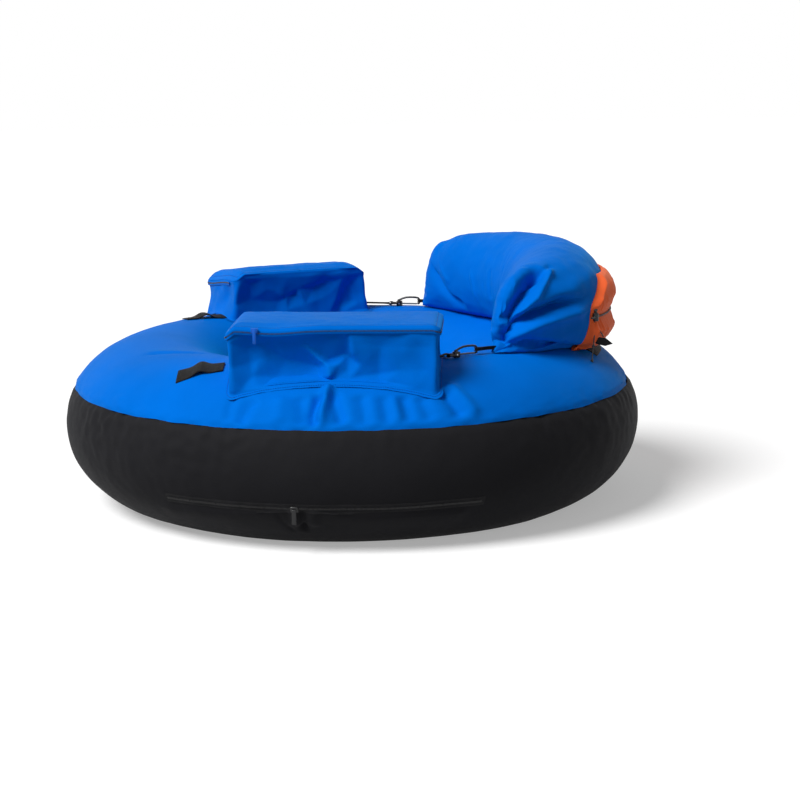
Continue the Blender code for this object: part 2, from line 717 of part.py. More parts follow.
def outer_skin_radius(azimuth, height):
    """The cushion's outer face radius at an azimuth and height, on its coarse form."""
    inner, outer, crown = station_at(azimuth / BACKREST_HALF_SPAN)
    inner_radius = RING_RADIUS - inner * SECTION_WIDTH / 2
    outer_radius = RING_RADIUS + outer * SECTION_WIDTH / 2
    foot = surface_height(inner_radius, 0.0)
    top = TUBE_TOP + crown * BACKREST_RISE
    up = min(max((height - foot) / (top - foot), 0.0), BACKREST_SECTION_SHARES[6][1])
    outline = BACKREST_SECTION_SHARES[-1:5:-1]
    for (across_a, up_a), (across_b, up_b) in zip(outline, outline[1:]):
        if up <= up_b:
            blend = (up - up_a) / (up_b - up_a)
            across = across_a + (across_b - across_a) * blend
            return inner_radius + across * (outer_radius - inner_radius)
    return inner_radius + outline[-1][0] * (outer_radius - inner_radius)


pouch_rings = []
for station, azimuth in enumerate(spread(-POUCH_HALF_SPAN, POUCH_HALF_SPAN, POUCH_STATIONS - 1)):
    end_share = POUCH_END_SHARE if station in (0, POUCH_STATIONS - 1) else 1.0
    outside = []
    inside = []
    for rise_share, lobe_share in POUCH_PROFILE_SHARES:
        height = TUBE_TOP + rise_share * BACKREST_RISE
        radius = outer_skin_radius(azimuth, height)
        outside.append((radius + POUCH_LOBE * lobe_share * end_share, height))
        inside.append((radius - POUCH_EMBED, height))
    ring = outside + inside[::-1]
    pouch_rings.append([Vector((radius * math.cos(azimuth), radius * math.sin(azimuth), height))
                        for radius, height in ring])
rear_pouch = loft("rear_pouch", pouch_rings, orange_fabric)
combine(rear_pouch, backrest_skin)

# Cord lock, standing on the pouch at the near end of the cinch
LOCK_AZIMUTH = math.radians(-27.6)
LOCK_RADIUS = 0.0065
LOCK_HEIGHT = 0.015
LOCK_BORE_RADIUS = 0.0040
LOCK_FLOOR = 0.0030
BUTTON_HEAD_RADIUS = 0.0048
BUTTON_HEAD_HEIGHT = 0.0035
BUTTON_STEM_RADIUS = 0.0035
BUTTON_LIFT = 0.0045
BUTTON_STEM_DEPTH = 0.0035
BUTTON_TOP_SHARE = 0.75
SPRING_WIRE = 0.0007
SPRING_RADIUS = 0.0024
SPRING_TURNS = 3
SPRING_STEPS = 10
DRAWCORD_STEPS = 22
DRAWCORD_END_STEPS = 4
DRAWCORD_REACH_SHARE = 0.97

cinch_height = TUBE_TOP + POUCH_CINCH_HEIGHT
cinch_thickness = POUCH_LOBE * POUCH_CINCH_SHARE


def cinch_radius(azimuth):
    """Where the drawcord's centre runs, just clear of the cinched pouch."""
    return (outer_skin_radius(azimuth, cinch_height) + cinch_thickness + CORD_DIAMETER / 2
            + TOUCH_GAP)


lock_centre_radius = (outer_skin_radius(LOCK_AZIMUTH, cinch_height) + cinch_thickness
                      + LOCK_RADIUS + TOUCH_GAP)
lock_origin = Vector((lock_centre_radius * math.cos(LOCK_AZIMUTH),
                      lock_centre_radius * math.sin(LOCK_AZIMUTH), cinch_height))
lock_frame = Matrix.Translation(lock_origin) @ Matrix.Rotation(LOCK_AZIMUTH, 4, "Z")
half_lock = LOCK_HEIGHT / 2
lock_body = turned("cord_lock_body",
                   [(0.0, -half_lock + LOCK_FLOOR), (LOCK_BORE_RADIUS, -half_lock + LOCK_FLOOR),
                    (LOCK_BORE_RADIUS, half_lock), (LOCK_RADIUS, half_lock),
                    (LOCK_RADIUS, -half_lock), (0.0, -half_lock)], black_plastic, 16)
lock_body.matrix_world = lock_frame
button_seat = half_lock + BUTTON_LIFT
button = turned("cord_lock_button",
                [(0.0, button_seat + BUTTON_HEAD_HEIGHT),
                 (BUTTON_HEAD_RADIUS * BUTTON_TOP_SHARE, button_seat + BUTTON_HEAD_HEIGHT),
                 (BUTTON_HEAD_RADIUS, button_seat + BUTTON_HEAD_HEIGHT / 2),
                 (BUTTON_HEAD_RADIUS, button_seat), (BUTTON_STEM_RADIUS, button_seat),
                 (BUTTON_STEM_RADIUS, half_lock - BUTTON_STEM_DEPTH),
                 (0.0, half_lock - BUTTON_STEM_DEPTH)], black_plastic, 14)
button.matrix_world = lock_frame
spring_low = -half_lock + LOCK_FLOOR + SPRING_WIRE / 2 + TOUCH_GAP
spring_high = half_lock - BUTTON_STEM_DEPTH - SPRING_WIRE / 2 - TOUCH_GAP
spring_route = []
for step in range(SPRING_TURNS * SPRING_STEPS + 1):
    turn = 2 * math.pi * step / SPRING_STEPS
    climb = spring_low + (spring_high - spring_low) * step / (SPRING_TURNS * SPRING_STEPS)
    spring_route.append(Vector((SPRING_RADIUS * math.cos(turn), SPRING_RADIUS * math.sin(turn),
                                climb)))
tube("cord_lock_spring", spring_route, SPRING_WIRE, bright_steel, 1, lock_frame)


def cord_arc(first, last, steps):
    """Points along the cinch, as the drawcord lies on the pouch."""
    return [Vector((cinch_radius(azimuth) * math.cos(azimuth),
                    cinch_radius(azimuth) * math.sin(azimuth), cinch_height))
            for azimuth in spread(first, last, steps)]


lock_offset = lock_centre_radius - cinch_radius(LOCK_AZIMUTH) - CORD_DIAMETER / 2
lock_half_angle = math.sqrt((LOCK_RADIUS + TOUCH_GAP) ** 2 - lock_offset ** 2) / lock_centre_radius
cord_reach = POUCH_HALF_SPAN * DRAWCORD_REACH_SHARE
tube("drawcord", cord_arc(cord_reach, LOCK_AZIMUTH + lock_half_angle, DRAWCORD_STEPS),
     CORD_DIAMETER, black_cord)
tube("drawcord_end", cord_arc(LOCK_AZIMUTH - lock_half_angle, -cord_reach, DRAWCORD_END_STEPS),
     CORD_DIAMETER, black_cord)

# The two free tails of the drawcord, and the fabric tab on the short one
TAIL_DIAMETER = 0.0024
TAB_LENGTH = 0.037
TAB_HEIGHT = 0.017
TAB_THICKNESS = 0.003
TAB_SLANT = math.radians(14.0)
TAB_OUTLINE_SHARES = ((-0.5, 0.15), (-0.2, 0.5), (0.12, 0.42), (0.5, -0.25), (0.1, -0.5),
                      (-0.35, -0.25))
tail_top = cinch_height - half_lock - TOUCH_GAP
LONG_TAIL_POINTS = ((0.4400, -0.2345, 0.3572), (0.4400, -0.2350, 0.3500),
                    (0.4395, -0.2390, 0.3370), (0.4370, -0.2440, 0.3220),
                    (0.4345, -0.2490, 0.3060), (0.4320, -0.2525, 0.2920), (0.4315, -0.2535, 0.2820))
SHORT_TAIL_POINTS = ((0.4445, -0.2300, 0.3572), (0.4448, -0.2303, 0.3500),
                     (0.4490, -0.2330, 0.3410), (0.4545, -0.2350, 0.3330),
                     (0.4570, -0.2358, 0.3270))


def tail_route(points):
    """A tail's chosen points, hung from the underside of the cord lock."""
    drop = Vector((lock_origin.x, lock_origin.y, tail_top))
    first = Vector(LONG_TAIL_POINTS[0]).lerp(Vector(SHORT_TAIL_POINTS[0]), 0.5)
    route = [drop + Vector(point) - first for point in points]
    route[0].z = tail_top
    return smooth_route(route, 2 * TAIL_DIAMETER)


tube("cord_tail_long", tail_route(LONG_TAIL_POINTS), TAIL_DIAMETER, black_cord)
short_route = tail_route(SHORT_TAIL_POINTS)
tube("cord_tail_short", short_route, TAIL_DIAMETER, black_cord)
tab_form = bmesh.new()
tab_points = [tab_form.verts.new((TAB_LENGTH * across, 0.0, TAB_HEIGHT * up))
              for across, up in TAB_OUTLINE_SHARES]
tab_form.faces.new(tab_points)
tab_side = bmesh.ops.extrude_face_region(tab_form, geom=tab_form.faces[:])
tab_moved = [part for part in tab_side["geom"] if isinstance(part, bmesh.types.BMVert)]
bmesh.ops.translate(tab_form, verts=tab_moved, vec=(0.0, TAB_THICKNESS, 0.0))
bmesh.ops.translate(tab_form, verts=tab_form.verts, vec=(0.0, -TAB_THICKNESS / 2, 0.0))
bmesh.ops.recalc_face_normals(tab_form, faces=tab_form.faces)
pull_tab = from_bmesh("cord_pull_tab", tab_form, black_webbing)
tab_centre = short_route[-1] - Vector((0.0, 0.0, TAB_HEIGHT / 2 + TOUCH_GAP))
pull_tab.matrix_world = Matrix.Translation(tab_centre) @ Matrix.Rotation(-TAB_SLANT / 2, 4, "Z")


# Snap hooks: each is held to a pocket's end by webbing and clips the backrest's loop
HOOK_OFFSET = 0.0015
HOOK_AZIMUTH = math.radians(67.3)
HOOK_HEADING = math.radians(21.0)
HOOK_LIFT = 0.0058
HOOK_LENGTH = 0.044
HOOK_RISE = 0.0135
HOOK_ROD = 0.0042
HOOK_BASE = (0.011, 0.009, 0.0105)
FORK_GAP = 0.0038
GATE_THICKNESS = 0.003
GATE_DEPTH = 0.003
GATE_ROOT_RADIUS = 0.0029
GATE_PIN_RADIUS = 0.0012
BAR_THICKNESS = 0.0032
BAR_FRAME = (0.0145, 0.019, 0.0032)
BAR_SLOT = (0.008, 0.0135)
HOOK_STRAP_WIDTH = 0.012
LOOP_WIDTH = 0.0055
LOOP_REACH = 0.08
HOOK_STRAP_REACH = 0.08
GATE_END_SHARE = 0.88
GATE_DROP_SHARE = 0.02
NOSE_INNER_SHARE = 0.985
SPINE_SHARES = ((-0.08, 0.44), (0.03, 0.58), (0.16, 0.78), (0.34, 0.95), (0.55, 1.0),
                (0.78, 0.99), (0.93, 0.90), (1.0, 0.62), (1.0, 0.30), (0.975, 0.06), (0.90, -0.02))


def hook_frame(side_sign):
    """Local X runs from the gate's rivet to the nose, local Z is up."""
    azimuth = side_sign * HOOK_AZIMUTH
    x = (RING_RADIUS + HOOK_OFFSET) * math.cos(azimuth)
    y = (RING_RADIUS + HOOK_OFFSET) * math.sin(azimuth)
    height = TUBE_TOP + HOOK_LIFT
    return (Matrix.Translation((x, y, height))
            @ Matrix.Rotation(-side_sign * HOOK_HEADING, 4, "Z"))


def oval(left, right, half_width, height, steps=6):
    """A closed level path, round at both ends."""
    points = []
    for centre, first in ((left, math.pi / 2), (right, -math.pi / 2)):
        for step in range(steps + 1):
            angle = first + math.pi * step / steps
            points.append((centre + half_width * math.cos(angle), half_width * math.sin(angle)))
    return [Vector((x, y, height)) for x, y in points]


for side, sign in SIDES.items():
    frame = hook_frame(sign)
    hook = box(side + "_hook_body", HOOK_BASE, (0.0, 0.0, 0.0), black_plastic, frame)
    fork = box(side + "_hook_fork_cutter",
               (HOOK_BASE[0] / 2 + GATE_ROOT_RADIUS + TOUCH_GAP + OVERRUN, FORK_GAP,
                GATE_ROOT_RADIUS + 2 * TOUCH_GAP + OVERRUN),
               ((HOOK_BASE[0] / 2 + OVERRUN - GATE_ROOT_RADIUS - TOUCH_GAP) / 2, 0.0,
                (GATE_ROOT_RADIUS + 2 * TOUCH_GAP - OVERRUN) / 2), None, frame)
    mouth = box(side + "_hook_mouth_cutter", (OVERRUN, FORK_GAP, HOOK_BASE[2] + OVERRUN),
                (GATE_ROOT_RADIUS / 2 + OVERRUN / 2, 0.0, 0.0), None, frame)
    combine(hook, fork)
    combine(hook, mouth)
    spine_points = [Vector((HOOK_LENGTH * x, 0.0, HOOK_RISE * z)) for x, z in SPINE_SHARES]
    spine = rod_mesh(side + "_hook_spine_guide", smooth_route(spine_points, HOOK_RISE / 2),
                     HOOK_ROD, None, 2, frame)
    combine(hook, spine, "UNION")
    frame_centre = -GATE_ROOT_RADIUS - 2 * TOUCH_GAP - BAR_FRAME[0] / 2
    bar_frame = box(side + "_hook_bar_guide", BAR_FRAME, (frame_centre, 0.0, 0.0), None, frame)
    combine(hook, bar_frame, "UNION")
    slot_centre = frame_centre - BAR_FRAME[0] / 2 + BAR_THICKNESS + BAR_SLOT[0] / 2
    bar_slot = box(side + "_hook_slot_cutter", (BAR_SLOT[0], BAR_SLOT[1], OVERRUN),
                   (slot_centre, 0.0, 0.0), None, frame)
    combine(hook, bar_slot)
    pin_hole = pin(side + "_hook_pin_cutter", GATE_PIN_RADIUS + TOUCH_GAP,
                   HOOK_BASE[1] + OVERRUN, (0.0, 0.0, 0.0), None, frame)
    combine(hook, pin_hole)

    gate = pin(side + "_hook_gate", GATE_ROOT_RADIUS, GATE_THICKNESS, (0.0, 0.0, 0.0),
               grey_plastic, frame, 14)
    gate_end = HOOK_LENGTH * GATE_END_SHARE - TOUCH_GAP
    gate_arm = box(side + "_hook_gate_guide", (gate_end, GATE_THICKNESS, GATE_DEPTH),
                   (gate_end / 2, 0.0, -HOOK_RISE * GATE_DROP_SHARE), None, frame)
    combine(gate, gate_arm, "UNION")
    combine(gate, pin_hole)
    pin(side + "_hook_gate_pin", GATE_PIN_RADIUS, HOOK_BASE[1] + TOUCH_GAP, (0.0, 0.0, 0.0),
        bright_steel, frame)

    inner_ply = (HOOK_LENGTH * NOSE_INNER_SHARE - HOOK_ROD / 2 - TOUCH_GAP
                 - NARROW_WEBBING_THICKNESS / 2)
    loop_half = HOOK_ROD / 2 + 2 * TOUCH_GAP + NARROW_WEBBING_THICKNESS
    loop_low = HOOK_ROD / 2 + 3 * TOUCH_GAP
    path = oval(inner_ply + loop_half, HOOK_LENGTH + LOOP_REACH, loop_half, loop_low)
    rows = [[point, point + Vector((0.0, 0.0, LOOP_WIDTH))] for point in path]
    loop = sheet(side + "_backrest_loop", rows, NARROW_WEBBING_THICKNESS, black_webbing, True)
    loop.matrix_world = frame
    combine(loop, backrest_skin)

    bar_x = frame_centre - BAR_FRAME[0] / 2 + BAR_THICKNESS / 2
    strap_half = BAR_THICKNESS / 2 + TOUCH_GAP + NARROW_WEBBING_THICKNESS
    strap_path = oval(bar_x - HOOK_STRAP_REACH, bar_x, strap_half, 0.0)
    rows = [[Vector((point.x, -HOOK_STRAP_WIDTH / 2, point.y)),
             Vector((point.x, HOOK_STRAP_WIDTH / 2, point.y))] for point in strap_path]
    strap = sheet(side + "_hook_strap", rows, NARROW_WEBBING_THICKNESS, black_webbing, True)
    strap.matrix_world = frame
    pocket_skin = pocket_block(side + "_pocket_skin_cutter", side, -TOUCH_GAP,
                               pocket_low - OVERRUN, pocket_top + OVERRUN)
    combine(strap, pocket_skin)


# Webbing tabs sewn flat at both ends, ahead of each pocket
TAB_STRAP_WIDTH = 0.036
TAB_STRAP_LENGTH = 0.085
TAB_STRAP_ARCH = 0.0095
TAB_STRAP_STEPS = 10
TAB_STRAP_INSET = {"left": 0.002, "right": 0.050}

for side, sign in SIDES.items():
    azimuth = POCKET_AZIMUTH[side]
    outward = Vector((math.cos(azimuth), math.sin(azimuth)))
    forward = Vector((-outward.y, outward.x)) * sign
    start = (POCKET_LENGTH[side] / 2 + POCKET_SHIFT[side] * sign + TOUCH_GAP
             + POCKET_WALL)
    rows = []
    for along_share in spread(0.0, 1.0, TAB_STRAP_STEPS):
        row = []
        for across_share in (-0.5, 0.0, 0.5):
            across = RING_RADIUS - TAB_STRAP_INSET[side] + across_share * TAB_STRAP_WIDTH
            spot = outward * across + forward * (start + TAB_STRAP_LENGTH * along_share)
            bow = math.sin(math.pi * along_share) ** 2 * TAB_STRAP_ARCH
            lift = WEBBING_THICKNESS / 2 + TOUCH_GAP + bow
            row.append(Vector((spot.x, spot.y, cover_height(spot.x, spot.y) + lift)))
        rows.append(row)
    strap_tab = sheet(side + "_webbing_tab", rows, WEBBING_THICKNESS, black_webbing)
    combine(strap_tab, ring_cutter(TOUCH_GAP))


# Seat: a fabric sling across the rear half of the hole, with its rim sewn to the hole seam
SEAT_THICKNESS = 0.002
SEAT_SAG = 0.046
SEAT_RIM_DROP = 0.006
SEAT_RIM_WIDTH = 0.024
SEAT_PROFILE_SHARES = ((0.0, 1.0), (0.32, 0.90), (0.62, 0.60), (0.86, 0.22), (0.965, 0.0))


def seat_height(radius):
    """Height of the seat's fabric at a radius from the hole's centre."""
    share = radius / HOLE_RADIUS
    rim = SECTION_CENTRE_HEIGHT - SEAT_RIM_DROP
    for (near, sag_near), (far, sag_far) in zip(SEAT_PROFILE_SHARES, SEAT_PROFILE_SHARES[1:]):
        if share <= far:
            blend = (share - near) / (far - near)
            return rim - SEAT_SAG * (sag_near + (sag_far - sag_near) * blend)
    return rim


seat_outline = [(HOLE_RADIUS * share, seat_height(HOLE_RADIUS * share))
                for share, _ in SEAT_PROFILE_SHARES]
rim_outset = TOUCH_GAP + SEAT_THICKNESS / 2
rim_reach = SEAT_RIM_WIDTH / (SECTION_HEIGHT / 2)
seat_outline += [section_point(INNER_SEAM_ANGLE, rim_outset),
                 section_point(INNER_SEAM_ANGLE - rim_reach, rim_outset)]
seat_panel = turned("seat_panel", seat_outline, black_fabric, RING_STEPS // 2, math.pi,
                    -math.pi / 2)
thicken(seat_panel, SEAT_THICKNESS, 0.0)

# Crotch strap with its side-release buckle, from the seat to the front of the hole
CROTCH_STRAP_WIDTH = 0.025
BUCKLE_WIDTH = 0.036
BUCKLE_HEIGHT = 0.011
SOCKET_LENGTH = 0.034
SOCKET_WALL = 0.002
PLUG_BASE_LENGTH = 0.015
TONGUE_LENGTH = 0.027
TONGUE_WIDTH = 0.022
TONGUE_CLEARANCE = 0.0008
SOCKET_REAR_X = -0.052
STRAP_REAR_X = 0.085
STRAP_REAR_STEPS = 4
RELEASE_PLACE_SHARE = 0.62
RELEASE_LENGTH_SHARE = 0.4
TONGUE_SPLIT_LENGTH_SHARE = 0.7
TONGUE_SPLIT_WIDTH_SHARE = 0.3
# The front strap's fall from the hole's rim to the buckle: along and up, as shares
STRAP_FALL_SHARES = ((0.0, 0.0), (0.35, 0.16), (0.75, 0.55))
strap_lift = SEAT_THICKNESS / 2 + WEBBING_THICKNESS / 2 + TOUCH_GAP
strap_level = seat_height(0.0) + strap_lift
strap_rows = []
for x in (*spread(STRAP_REAR_X, 0.0, STRAP_REAR_STEPS), SOCKET_REAR_X + TOUCH_GAP):
    rise = max(seat_height(math.hypot(max(x, 0.0), CROTCH_STRAP_WIDTH / 2)) + strap_lift
               + TOUCH_GAP, strap_level)
    strap_rows.append([Vector((x, -CROTCH_STRAP_WIDTH / 2, rise)),
                       Vector((x, CROTCH_STRAP_WIDTH / 2, rise))])
sheet("crotch_strap_rear", strap_rows, WEBBING_THICKNESS, black_webbing)

buckle_level = strap_level + TOUCH_GAP
socket_centre = SOCKET_REAR_X - SOCKET_LENGTH / 2
socket = box("buckle_socket", (SOCKET_LENGTH, BUCKLE_WIDTH, BUCKLE_HEIGHT),
             (socket_centre, 0.0, buckle_level), black_plastic)
socket_room = box("buckle_socket_room",
                  (SOCKET_LENGTH, TONGUE_WIDTH + 2 * TONGUE_CLEARANCE,
                   BUCKLE_HEIGHT - 2 * SOCKET_WALL),
                  (socket_centre - SOCKET_WALL, 0.0, buckle_level))
combine(socket, socket_room)
release_x = SOCKET_REAR_X - SOCKET_LENGTH * RELEASE_PLACE_SHARE
release_windows = box("buckle_release_windows",
                      (SOCKET_LENGTH * RELEASE_LENGTH_SHARE, BUCKLE_WIDTH + OVERRUN,
                       BUCKLE_HEIGHT - 3 * SOCKET_WALL),
                      (release_x, 0.0, buckle_level))
combine(socket, release_windows)

plug_face = SOCKET_REAR_X - SOCKET_LENGTH - TOUCH_GAP
plug = box("buckle_plug", (PLUG_BASE_LENGTH, BUCKLE_WIDTH, BUCKLE_HEIGHT - SOCKET_WALL),
           (plug_face - PLUG_BASE_LENGTH / 2, 0.0, buckle_level), black_plastic)
tongue = box("buckle_tongue_guide",
             (TONGUE_LENGTH + SOCKET_WALL, TONGUE_WIDTH,
              BUCKLE_HEIGHT - 2 * SOCKET_WALL - 2 * TONGUE_CLEARANCE),
             (plug_face + (TONGUE_LENGTH - SOCKET_WALL) / 2, 0.0, buckle_level))
combine(plug, tongue, "UNION")
split_length = TONGUE_LENGTH * TONGUE_SPLIT_LENGTH_SHARE
tongue_split = box("buckle_tongue_split",
                   (split_length, TONGUE_WIDTH * TONGUE_SPLIT_WIDTH_SHARE, OVERRUN * 2),
                   (plug_face + split_length, 0.0, buckle_level))
combine(plug, tongue_split)

front_end = section_point(INNER_SEAM_ANGLE, rim_outset)
front_rim = section_point(INNER_SEAM_ANGLE - rim_reach, rim_outset)
plug_front = plug_face - PLUG_BASE_LENGTH - TOUCH_GAP
front_path = [(plug_front + (-front_end[0] - plug_front) * along,
               buckle_level + (front_end[1] - buckle_level) * up)
              for along, up in STRAP_FALL_SHARES]
front_path += [(-front_end[0] + WEBBING_THICKNESS, front_end[1] - SEAT_RIM_DROP),
               (-front_rim[0], front_rim[1])]
strap_rows = [[Vector((x, -CROTCH_STRAP_WIDTH / 2, z)), Vector((x, CROTCH_STRAP_WIDTH / 2, z))]
              for x, z in front_path]
sheet("crotch_strap_front", strap_rows, WEBBING_THICKNESS, black_webbing)
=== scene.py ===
"""Looks for a float tube: a fabric-covered ring with pockets, a backrest and a sling seat.

Metres, +Z up. The origin is on the floor under the ring's centre, +X points to the
backrest and -Y to the seated angler's left, which is the side that the camera sees.
"""

import json
import math
from functools import partial

import bmesh
import bpy
import numpy as np
from mathutils import Matrix, Vector, geometry, noise
from mathutils.bvhtree import BVHTree

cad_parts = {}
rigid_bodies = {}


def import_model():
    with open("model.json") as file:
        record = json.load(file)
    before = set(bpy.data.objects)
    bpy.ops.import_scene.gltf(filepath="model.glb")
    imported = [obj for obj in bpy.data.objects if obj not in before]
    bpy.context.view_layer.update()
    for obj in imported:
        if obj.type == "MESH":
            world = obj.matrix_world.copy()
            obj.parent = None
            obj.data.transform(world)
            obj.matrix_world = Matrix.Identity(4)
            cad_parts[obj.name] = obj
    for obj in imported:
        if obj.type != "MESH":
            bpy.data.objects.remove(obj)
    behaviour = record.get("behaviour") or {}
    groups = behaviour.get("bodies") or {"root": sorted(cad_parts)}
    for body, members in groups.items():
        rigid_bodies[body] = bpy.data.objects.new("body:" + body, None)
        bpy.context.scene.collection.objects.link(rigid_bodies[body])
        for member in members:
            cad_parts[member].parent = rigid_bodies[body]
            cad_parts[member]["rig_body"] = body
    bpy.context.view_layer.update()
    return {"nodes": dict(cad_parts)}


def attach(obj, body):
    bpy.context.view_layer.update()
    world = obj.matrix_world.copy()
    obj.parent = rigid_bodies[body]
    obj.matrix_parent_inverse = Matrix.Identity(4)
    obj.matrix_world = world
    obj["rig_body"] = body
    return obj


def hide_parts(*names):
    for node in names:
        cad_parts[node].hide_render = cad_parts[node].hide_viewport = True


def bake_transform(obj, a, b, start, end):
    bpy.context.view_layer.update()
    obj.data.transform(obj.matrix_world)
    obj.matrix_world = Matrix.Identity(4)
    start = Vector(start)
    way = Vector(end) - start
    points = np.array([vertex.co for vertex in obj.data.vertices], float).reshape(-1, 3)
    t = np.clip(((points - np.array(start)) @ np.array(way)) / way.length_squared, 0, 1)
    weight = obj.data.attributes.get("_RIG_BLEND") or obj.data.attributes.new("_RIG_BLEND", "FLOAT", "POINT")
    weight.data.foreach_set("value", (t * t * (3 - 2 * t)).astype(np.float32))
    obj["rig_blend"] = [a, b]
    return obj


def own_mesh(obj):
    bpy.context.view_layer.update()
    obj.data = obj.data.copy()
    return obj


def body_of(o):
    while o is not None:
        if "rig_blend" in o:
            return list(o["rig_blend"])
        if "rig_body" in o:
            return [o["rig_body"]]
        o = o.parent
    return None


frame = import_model()
nodes = frame["nodes"]
scene_objects = bpy.context.scene.collection.objects

# Camera
# A long lens a little above the tube, on the angler's left and slightly towards the bow.
CAMERA_DISTANCE = 4.2
CAMERA_ELEVATION = math.radians(12.79)
CAMERA_AZIMUTH = math.radians(-7.0)
CAMERA_LENS_MM = 94.7
CAMERA_SENSOR_MM = 36.0
CAMERA_TURNS = (("X", math.radians(2.41)), ("Y", math.radians(-1.29)), ("Z", math.radians(-0.83)))

camera_data = bpy.data.cameras.new("camera")
camera_data.lens = CAMERA_LENS_MM
camera_data.sensor_width = CAMERA_SENSOR_MM
camera = bpy.data.objects.new("camera", camera_data)
scene_objects.link(camera)
camera_back = Vector((math.sin(CAMERA_AZIMUTH) * math.cos(CAMERA_ELEVATION),
                      -math.cos(CAMERA_AZIMUTH) * math.cos(CAMERA_ELEVATION),
                      math.sin(CAMERA_ELEVATION)))
camera_aim = (-camera_back).to_track_quat("-Z", "Y").to_matrix()
for turn_axis, turn in CAMERA_TURNS:
    camera_aim = camera_aim @ Matrix.Rotation(turn, 3, turn_axis)
camera.rotation_euler = camera_aim.to_euler()
camera.location = camera_back * CAMERA_DISTANCE
bpy.context.scene.camera = camera

# Studio
# A white floor and surround under one large soft lamp from the bow, and a pale even sky.
# The floor and the surround are white where the camera or a gloss sees them.
WHITE = (1.0, 1.0, 1.0, 1.0)
KEY_FROM = Vector((-0.80, -0.50, 1.0))
KEY_STRENGTH = 3.6
KEY_SOFTNESS = math.radians(30.0)
SKY_STRENGTH = 0.17
FLOOR_HALF = 14.0
FLOOR_TONE = 0.74
FLOOR_UNSEEN_TONE = 0.42
FLOOR_LIFT = 0.36

bpy.context.scene.view_settings.view_transform = "Standard"

key_data = bpy.data.lights.new("key_lamp", "SUN")
key_data.energy = KEY_STRENGTH
key_data.angle = KEY_SOFTNESS
key_lamp = bpy.data.objects.new("key_lamp", key_data)
key_lamp.rotation_euler = (-KEY_FROM).to_track_quat("-Z", "Y").to_euler()
scene_objects.link(key_lamp)


def set_inputs(tree, node, inputs):
    """Set a shader node's inputs to values, or join them to other nodes' outputs."""
    for key, value in inputs.items():
        if isinstance(value, bpy.types.NodeSocket):
            tree.links.new(value, node.inputs[key])
        else:
            node.inputs[key].default_value = value


def add_node(tree, kind, out=0, inputs=None, **settings):
    """Add a shader node, and give one of its outputs."""
    node = tree.nodes.new("ShaderNode" + kind)
    for key, value in settings.items():
        setattr(node, key, value)
    set_inputs(tree, node, inputs or {})
    return node.outputs[out]


def seen_directly(tree):
    """One where the camera, a gloss or a clear thing looks straight at the surface."""
    path = tree.nodes.new("ShaderNodeLightPath")
    total = path.outputs["Is Camera Ray"]
    for ray in ("Is Glossy Ray", "Is Transmission Ray"):
        total = add_node(tree, "Math", 0, {0: total, 1: path.outputs[ray]}, operation="ADD",
                         use_clamp=True)
    return total


sky = bpy.data.worlds.new("studio_sky")
bpy.context.scene.world = sky
sky.use_nodes = True
sky_tree = sky.node_tree
sky_dim = sky_tree.nodes["Background"]
set_inputs(sky_tree, sky_dim, {"Color": WHITE, "Strength": SKY_STRENGTH})
sky_white = add_node(sky_tree, "Background", 0, {"Color": WHITE, "Strength": 1.0})
sky_look = add_node(sky_tree, "MixShader", 0,
                    {0: seen_directly(sky_tree), 1: sky_dim.outputs[0], 2: sky_white})
set_inputs(sky_tree, sky_tree.nodes["World Output"], {"Surface": sky_look})

floor_form = bmesh.new()
bmesh.ops.create_grid(floor_form, x_segments=1, y_segments=1, size=FLOOR_HALF)
floor_mesh = bpy.data.meshes.new("floor")
floor_form.to_mesh(floor_mesh)
floor_form.free()
floor = bpy.data.objects.new("floor", floor_mesh)
scene_objects.link(floor)
floor_paint = bpy.data.materials.new("floor_paint")
floor_paint.use_nodes = True
floor_tree = floor_paint.node_tree
floor_tree.nodes.remove(floor_tree.nodes["Principled BSDF"])
floor_seen = seen_directly(floor_tree)
floor_unseen_matt, floor_matt = [
    add_node(floor_tree, "BsdfDiffuse", 0, {"Color": (tone, tone, tone, 1.0)})
    for tone in (FLOOR_UNSEEN_TONE, FLOOR_TONE)]
floor_base = add_node(floor_tree, "MixShader", 0,
                      {0: floor_seen, 1: floor_unseen_matt, 2: floor_matt})
floor_share = add_node(floor_tree, "Math", 0, {0: floor_seen, 1: FLOOR_LIFT},
                       operation="MULTIPLY")
floor_glow = add_node(floor_tree, "Emission", 0, {"Strength": floor_share})
floor_look = add_node(floor_tree, "AddShader", 0, {0: floor_base, 1: floor_glow})
set_inputs(floor_tree, floor_tree.nodes["Material Output"], {"Surface": floor_look})
floor.data.materials.append(floor_paint)

# Drawcord tails
# Two ends of one thin braided cord that hang from the cord lock. The long one ends in a
# knot on the ring, and the short one holds a tab of stiffened webbing to pull on.
TAIL_DIAMETER = 0.0024
LONG_TAIL = ((0.43315, -0.22987, 0.3571), (0.43315, -0.23037, 0.3499), (0.43265, -0.23437, 0.3369),
             (0.43015, -0.23937, 0.3219), (0.42765, -0.24437, 0.3059), (0.42515, -0.24787, 0.2919),
             (0.42465, -0.24887, 0.2819))
SHORT_TAIL = ((0.43765, -0.22537, 0.3571), (0.43795, -0.22567, 0.3499),
              (0.44215, -0.22837, 0.3409), (0.44765, -0.23037, 0.3329),
              (0.45015, -0.23117, 0.3269))
LONG_TAIL_KNOTS = (0.62, 0.97)
KNOT_RADIUS = 0.0030
TAIL_SPACING = 0.0035
TAIL_SIDES = 12
PULL_TAB_OUTLINE = ((-0.0185, 0.0026), (-0.0074, 0.0085), (0.0044, 0.0071), (0.0185, -0.0043),
                    (0.0037, -0.0085), (-0.0130, -0.0043))
PULL_TAB_THICKNESS = 0.003
PULL_TAB_PLACE = Vector((0.4502, -0.2312, 0.3181))
PULL_TAB_SLANT = math.radians(-7.0)
